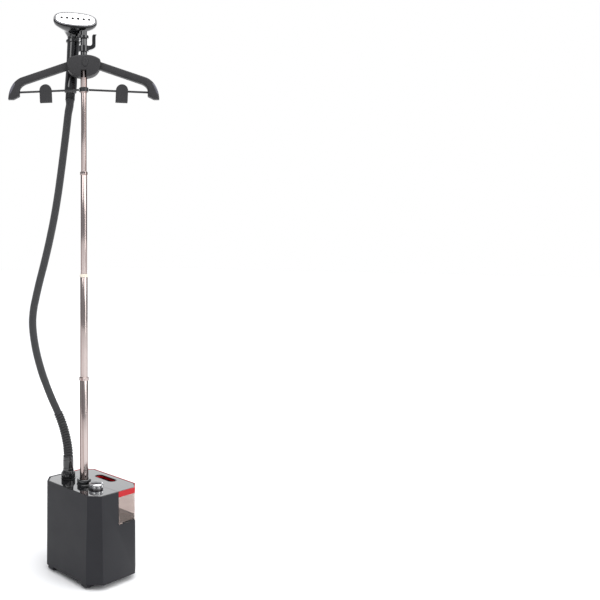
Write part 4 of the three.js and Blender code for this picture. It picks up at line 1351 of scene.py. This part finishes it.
class STEAMER_OT_cradle(bpy.types.Operator):
    """Builds the handset cradle and the side hook on the top sleeve"""

    bl_idname = "steamer.cradle"
    bl_label = "Cradle and side hook"

    def execute(self, context):
        self.cradle()
        self.hook()
        return {"FINISHED"}

    def clamp(self, bottom, top):
        """The split ring round the sleeve."""
        return spun([(0.0098, bottom), (0.014, bottom), (0.014, top), (0.0098, top)])

    def cradle(self):
        """The open fork that the handset's handle drops into."""
        lo, hi = heights("handset_cradle")
        fork = Vector((-0.0311, 0.043, 0))
        turn = math.atan2(fork.y, fork.x)
        inner, outer = 0.019, 0.0219
        gap = math.asin(0.0145 / outer)
        bm = bmesh.new()
        corners = [bm.verts.new((r, 0, z)) for r, z in ((inner, lo), (outer, lo), (outer, hi), (inner, hi))]
        face = bm.faces.new(corners)
        bmesh.ops.rotate(bm, verts=bm.verts, cent=(0, 0, 0), matrix=Matrix.Rotation(turn + gap, 3, "Z"))
        bmesh.ops.spin(
            bm, geom=[face, *face.edges, *face.verts], axis=(0, 0, 1), cent=(0, 0, 0),
            angle=math.tau - 2 * gap, steps=56, use_merge=False, use_duplicate=False)
        bmesh.ops.recalc_face_normals(bm, faces=bm.faces)
        bmesh.ops.translate(bm, vec=fork, verts=bm.verts)
        web = bmesh.new()
        bmesh.ops.create_cube(web, size=1)
        reach = fork.length - inner - 0.0105
        middle = Matrix.Rotation(turn, 4, "Z") @ Matrix.Translation((0.0105 + reach / 2, 0, (lo + hi) / 2))
        placed(web, middle @ Matrix.Diagonal((reach, 0.011, hi - lo, 1)))
        whole = together(bm, web, self.clamp(lo, hi))
        piece(
            "handset_fork", placed(whole, HANGER), "pole_top", handset_gloss(), ["handset_cradle"],
            0.0009)

    def hook(self):
        """The J-shaped hook with its out-turned tip."""
        bottom, top, reach, depth = 1.522, 1.571, 0.028, 0.011
        band = 0.017
        bore, outer, inner = 0.0102, reach + 0.006, reach - 0.004
        corner = (reach - 0.009, bottom + band)
        outline = [(bore, bottom + 0.0028), (inner, bottom + 0.007)]
        outline += bend((reach - 0.0039, bottom + 0.007), (outer, bottom + 0.010), (outer, bottom + 0.020))
        outline += [(outer, bottom + 0.020), (outer, top - 0.006)]
        outline += bend((outer, top - 0.0055), (reach + 0.0062, top - 0.002), (reach + 0.009, top - 0.001), 5)
        outline += [(reach + 0.009, top)]
        outline += bend((reach - 0.0005, top), (reach - 0.0038, top - 0.002), (inner, top - 0.008), 5)
        outline += bend((inner, bottom + 0.022), (reach - 0.005, bottom + 0.018), corner)
        outline += [corner, (bore, bottom + band)]
        place = Matrix.Translation((0, depth / 2, 0)) @ UPRIGHT
        arm = placed(slab(outline, 0, depth), place)
        whole = together(arm, self.clamp(bottom, bottom + band))
        piece(
            "side_hook_moulded", placed(whole, HANGER), "pole_top", handset_gloss(), ["side_hook"],
            0.0012, 4)


class STEAMER_OT_handset(bpy.types.Operator):
    """Builds the steam handset: handle, head, sole plate with steam holes and hose collar"""

    bl_idname = "steamer.handset"
    bl_label = "Steam handset"

    def execute(self, context):
        self.handle()
        self.head()
        self.sole()
        self.collar()
        return {"FINISHED"}

    def handle(self):
        """The gloss grip, a little slimmer at its middle."""
        r, bore, length = 0.018, 0.011, 0.160
        outline = [(bore, -length), (r - 0.0022, -length), (r - 0.0006, -length + 0.002)]
        for i in range(13):
            share = i / 12
            z = -length + 0.006 + share * (length - 0.012)
            outline.append((r - 0.0011 * math.sin(math.pi * share) ** 2, z))
        outline += [
            (r, -0.0036), (r - 0.0007, -0.003), (r - 0.0007, -0.0018), (r, -0.0012), (r, 0), (bore, 0),
        ]
        piece("handset_grip", placed(spun(outline, steps=96), HANDSET), "handset", handset_gloss(),
              ["handset_handle"], 0.0003, sharp=50)

    def head(self):
        """The shell that spreads from the round handle to the oval mouth."""
        bm = bmesh.new()
        bmesh.ops.create_circle(bm, segments=64, radius=0.018, matrix=Matrix.Translation((0, 0, 0.0004)))
        edges = bm.edges[:]
        sole = HANDSET.inverted() @ SOLE
        mouth = [self.oval_place(sole, 0.126, 0.060, -0.0012), self.oval_place(sole, 0.1262, 0.0602, -0.0065),
                 self.oval_place(sole, 0.119, 0.0555, -0.0155), self.oval_place(sole, 0.092, 0.050, -0.026)]
        neck = Matrix.Translation((0, 0, 0.0035)) @ Matrix.Diagonal((0.0181, 0.0181, 1, 1))
        start = Matrix.Translation((0, 0, 0.0004)) @ Matrix.Diagonal((0.018, 0.018, 1, 1))
        shoulder = self.between(neck, mouth[3], 0.5, lift=0.002)
        throat = self.between(neck, shoulder, 0.5, lift=0.001)
        cheek = self.between(shoulder, mouth[3], 0.5)
        places = [start, neck, throat, shoulder, cheek, *reversed(mouth)]
        for step, (before, after) in enumerate(zip(places, places[1:])):
            ring, edges = grow_ring(bm, edges)
            bmesh.ops.transform(bm, matrix=after @ before.inverted(), verts=ring)
            if step == places.index(mouth[2]) - 1:
                self.fill_out(ring, after)
        bmesh.ops.contextual_create(bm, geom=edges)
        base = [e for e in bm.edges if e.is_boundary]
        bmesh.ops.contextual_create(bm, geom=base)
        bmesh.ops.recalc_face_normals(bm, faces=bm.faces)
        piece("handset_shell", placed(bm, HANDSET), "handset", handset_gloss(), ["handset_head"],
              0.0008, sharp=50)

    def fill_out(self, ring, place):
        """Squares off an oval ring a little; the rings after it keep that shape."""
        for vert in ring:
            flat = place.inverted() @ vert.co
            vert.co = place @ Vector((fuller(flat.x), fuller(flat.y), flat.z))

    def oval_place(self, sole, across, up, out):
        """Stands a unit ring as an oval parallel to the sole plate."""
        turn = Matrix.Translation((0, 0, out)) @ Matrix.Diagonal((across / 2, up / 2, 1, 1))
        return sole @ turn

    def between(self, first, second, share, lift=0.0):
        """A ring place part of the way from one to another."""
        mixed = Matrix([[a + (b - a) * share for a, b in zip(r, s)] for r, s in zip(first, second)])
        mixed[2][3] += lift
        return mixed

    def sole(self):
        """The pale sole plate with its steam holes, and the satin rim round it."""
        count, spacing, row = sizes().steam_holes, 0.016, 0.002
        places = [(i - (count - 1) / 2) * spacing for i in range(count)]
        holes = [oval(sizes().hole_diameter, sizes().hole_diameter, 20, (x, row)) for x in places]
        plate = pierced(full_oval(0.1136, 0.0476), holes, 0.0002, 0.0029)
        piece(
            "sole_plate_alloy", placed(plate, SOLE), "handset", sole_metal(), ["sole_plate"],
            0.0006)
        rim = pierced(full_oval(0.1228, 0.0568), [full_oval(0.1158, 0.0498)], 0.0, 0.0026)
        piece("sole_rim", placed(rim, SOLE), "handset", satin_rim(), (), 0.0009)
        wells = [placed(self.well(), SOLE @ Matrix.Translation((x, row, 0))) for x in places]
        piece("steam_wells", together(*wells), "handset", fitting_black(), ())

    def well(self):
        """The dark bottom of a steam hole."""
        r = sizes().hole_diameter / 2 + 0.0002
        cup = [
            (0, -0.0008), (r, -0.0008), (r, 0.0031), (r - 0.0006, 0.0031), (r - 0.0008, 0.0003), (0, 0.0003),
        ]
        return spun(cup, closed=False, steps=24)

    def collar(self):
        """The ridged collar that the hose turns in."""
        r, bore = 0.014, 0.0092
        top, bottom = -0.1603, -0.180
        outline = [(bore, bottom), (r - 0.0008, bottom), (r, bottom + 0.001)]
        for i in range(6):
            z = bottom + 0.003 + i * 0.0026
            outline += [(r, z), (r - 0.0006, z + 0.0004), (r - 0.0006, z + 0.0011), (r, z + 0.0015)]
        outline += [(r, top - 0.0008), (r - 0.0006, top), (bore, top)]
        piece("handset_collar_ridged", placed(spun(outline), HANDSET), "handset", fitting_black(),
              ["handset_collar"])


class STEAMER_OT_inside(bpy.types.Operator):
    """Gives the frame pieces inside the base their finishes"""

    bl_idname = "steamer.inside"
    bl_label = "Inside of the base"

    def execute(self, context):
        finishes = {
            "heater_block": cast_alloy, "thermostat": turned_brass, "steam_pipe": cream_plastic,
            "water_pump": fitting_black, "control_board": board_green, "tank_seat": fitting_black,
            "rotary_switch": fitting_black,
        }
        for corner in ("front_left", "front_right", "rear_left", "rear_right"):
            finishes[f"axle_{corner}"] = bright_chrome
        for node, finish in finishes.items():
            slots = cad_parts[node].material_slots
            for place in slots:
                place.material = finish()
        return {"FINISHED"}


OPERATORS = (
    STEAMER_OT_stage,
    STEAMER_OT_hose,
    STEAMER_OT_casing,
    STEAMER_OT_fittings,
    STEAMER_OT_rollers,
    STEAMER_OT_tank,
    STEAMER_OT_pole,
    STEAMER_OT_hanger,
    STEAMER_OT_clips,
    STEAMER_OT_cradle,
    STEAMER_OT_handset,
    STEAMER_OT_inside,
)


class STEAMER_PT_panel(bpy.types.Panel):
    """Lists the steamer's pieces in the sidebar"""

    bl_label = "Garment steamer"
    bl_idname = "STEAMER_PT_panel"
    bl_space_type = "VIEW_3D"
    bl_region_type = "UI"
    bl_category = "Steamer"

    def draw(self, context):
        for group in (context.scene.steamer_sizes, context.scene.steamer_finishes):
            box = self.layout.box()
            for name in group.bl_rna.properties.keys():
                if name not in ("rna_type", "name"):
                    box.prop(group, name)
        for operator in OPERATORS:
            self.layout.operator(operator.bl_idname)


CLASSES = (SteamerSizes, SteamerFinishes, *OPERATORS, STEAMER_PT_panel)


def register():
    """Adds the classes and the scene's settings."""
    for cls in CLASSES:
        bpy.utils.register_class(cls)
    bpy.types.Scene.steamer_sizes = PointerProperty(type=SteamerSizes)
    bpy.types.Scene.steamer_finishes = PointerProperty(type=SteamerFinishes)


def unregister():
    """Takes the classes and the scene's settings away."""
    del bpy.types.Scene.steamer_finishes
    del bpy.types.Scene.steamer_sizes
    for cls in reversed(CLASSES):
        bpy.utils.unregister_class(cls)


def main():
    """Builds every piece in order."""
    register()
    for operator in OPERATORS:
        module, name = operator.bl_idname.split(".")
        getattr(getattr(bpy.ops, module), name)()


if __name__ == "__main__":
    main()
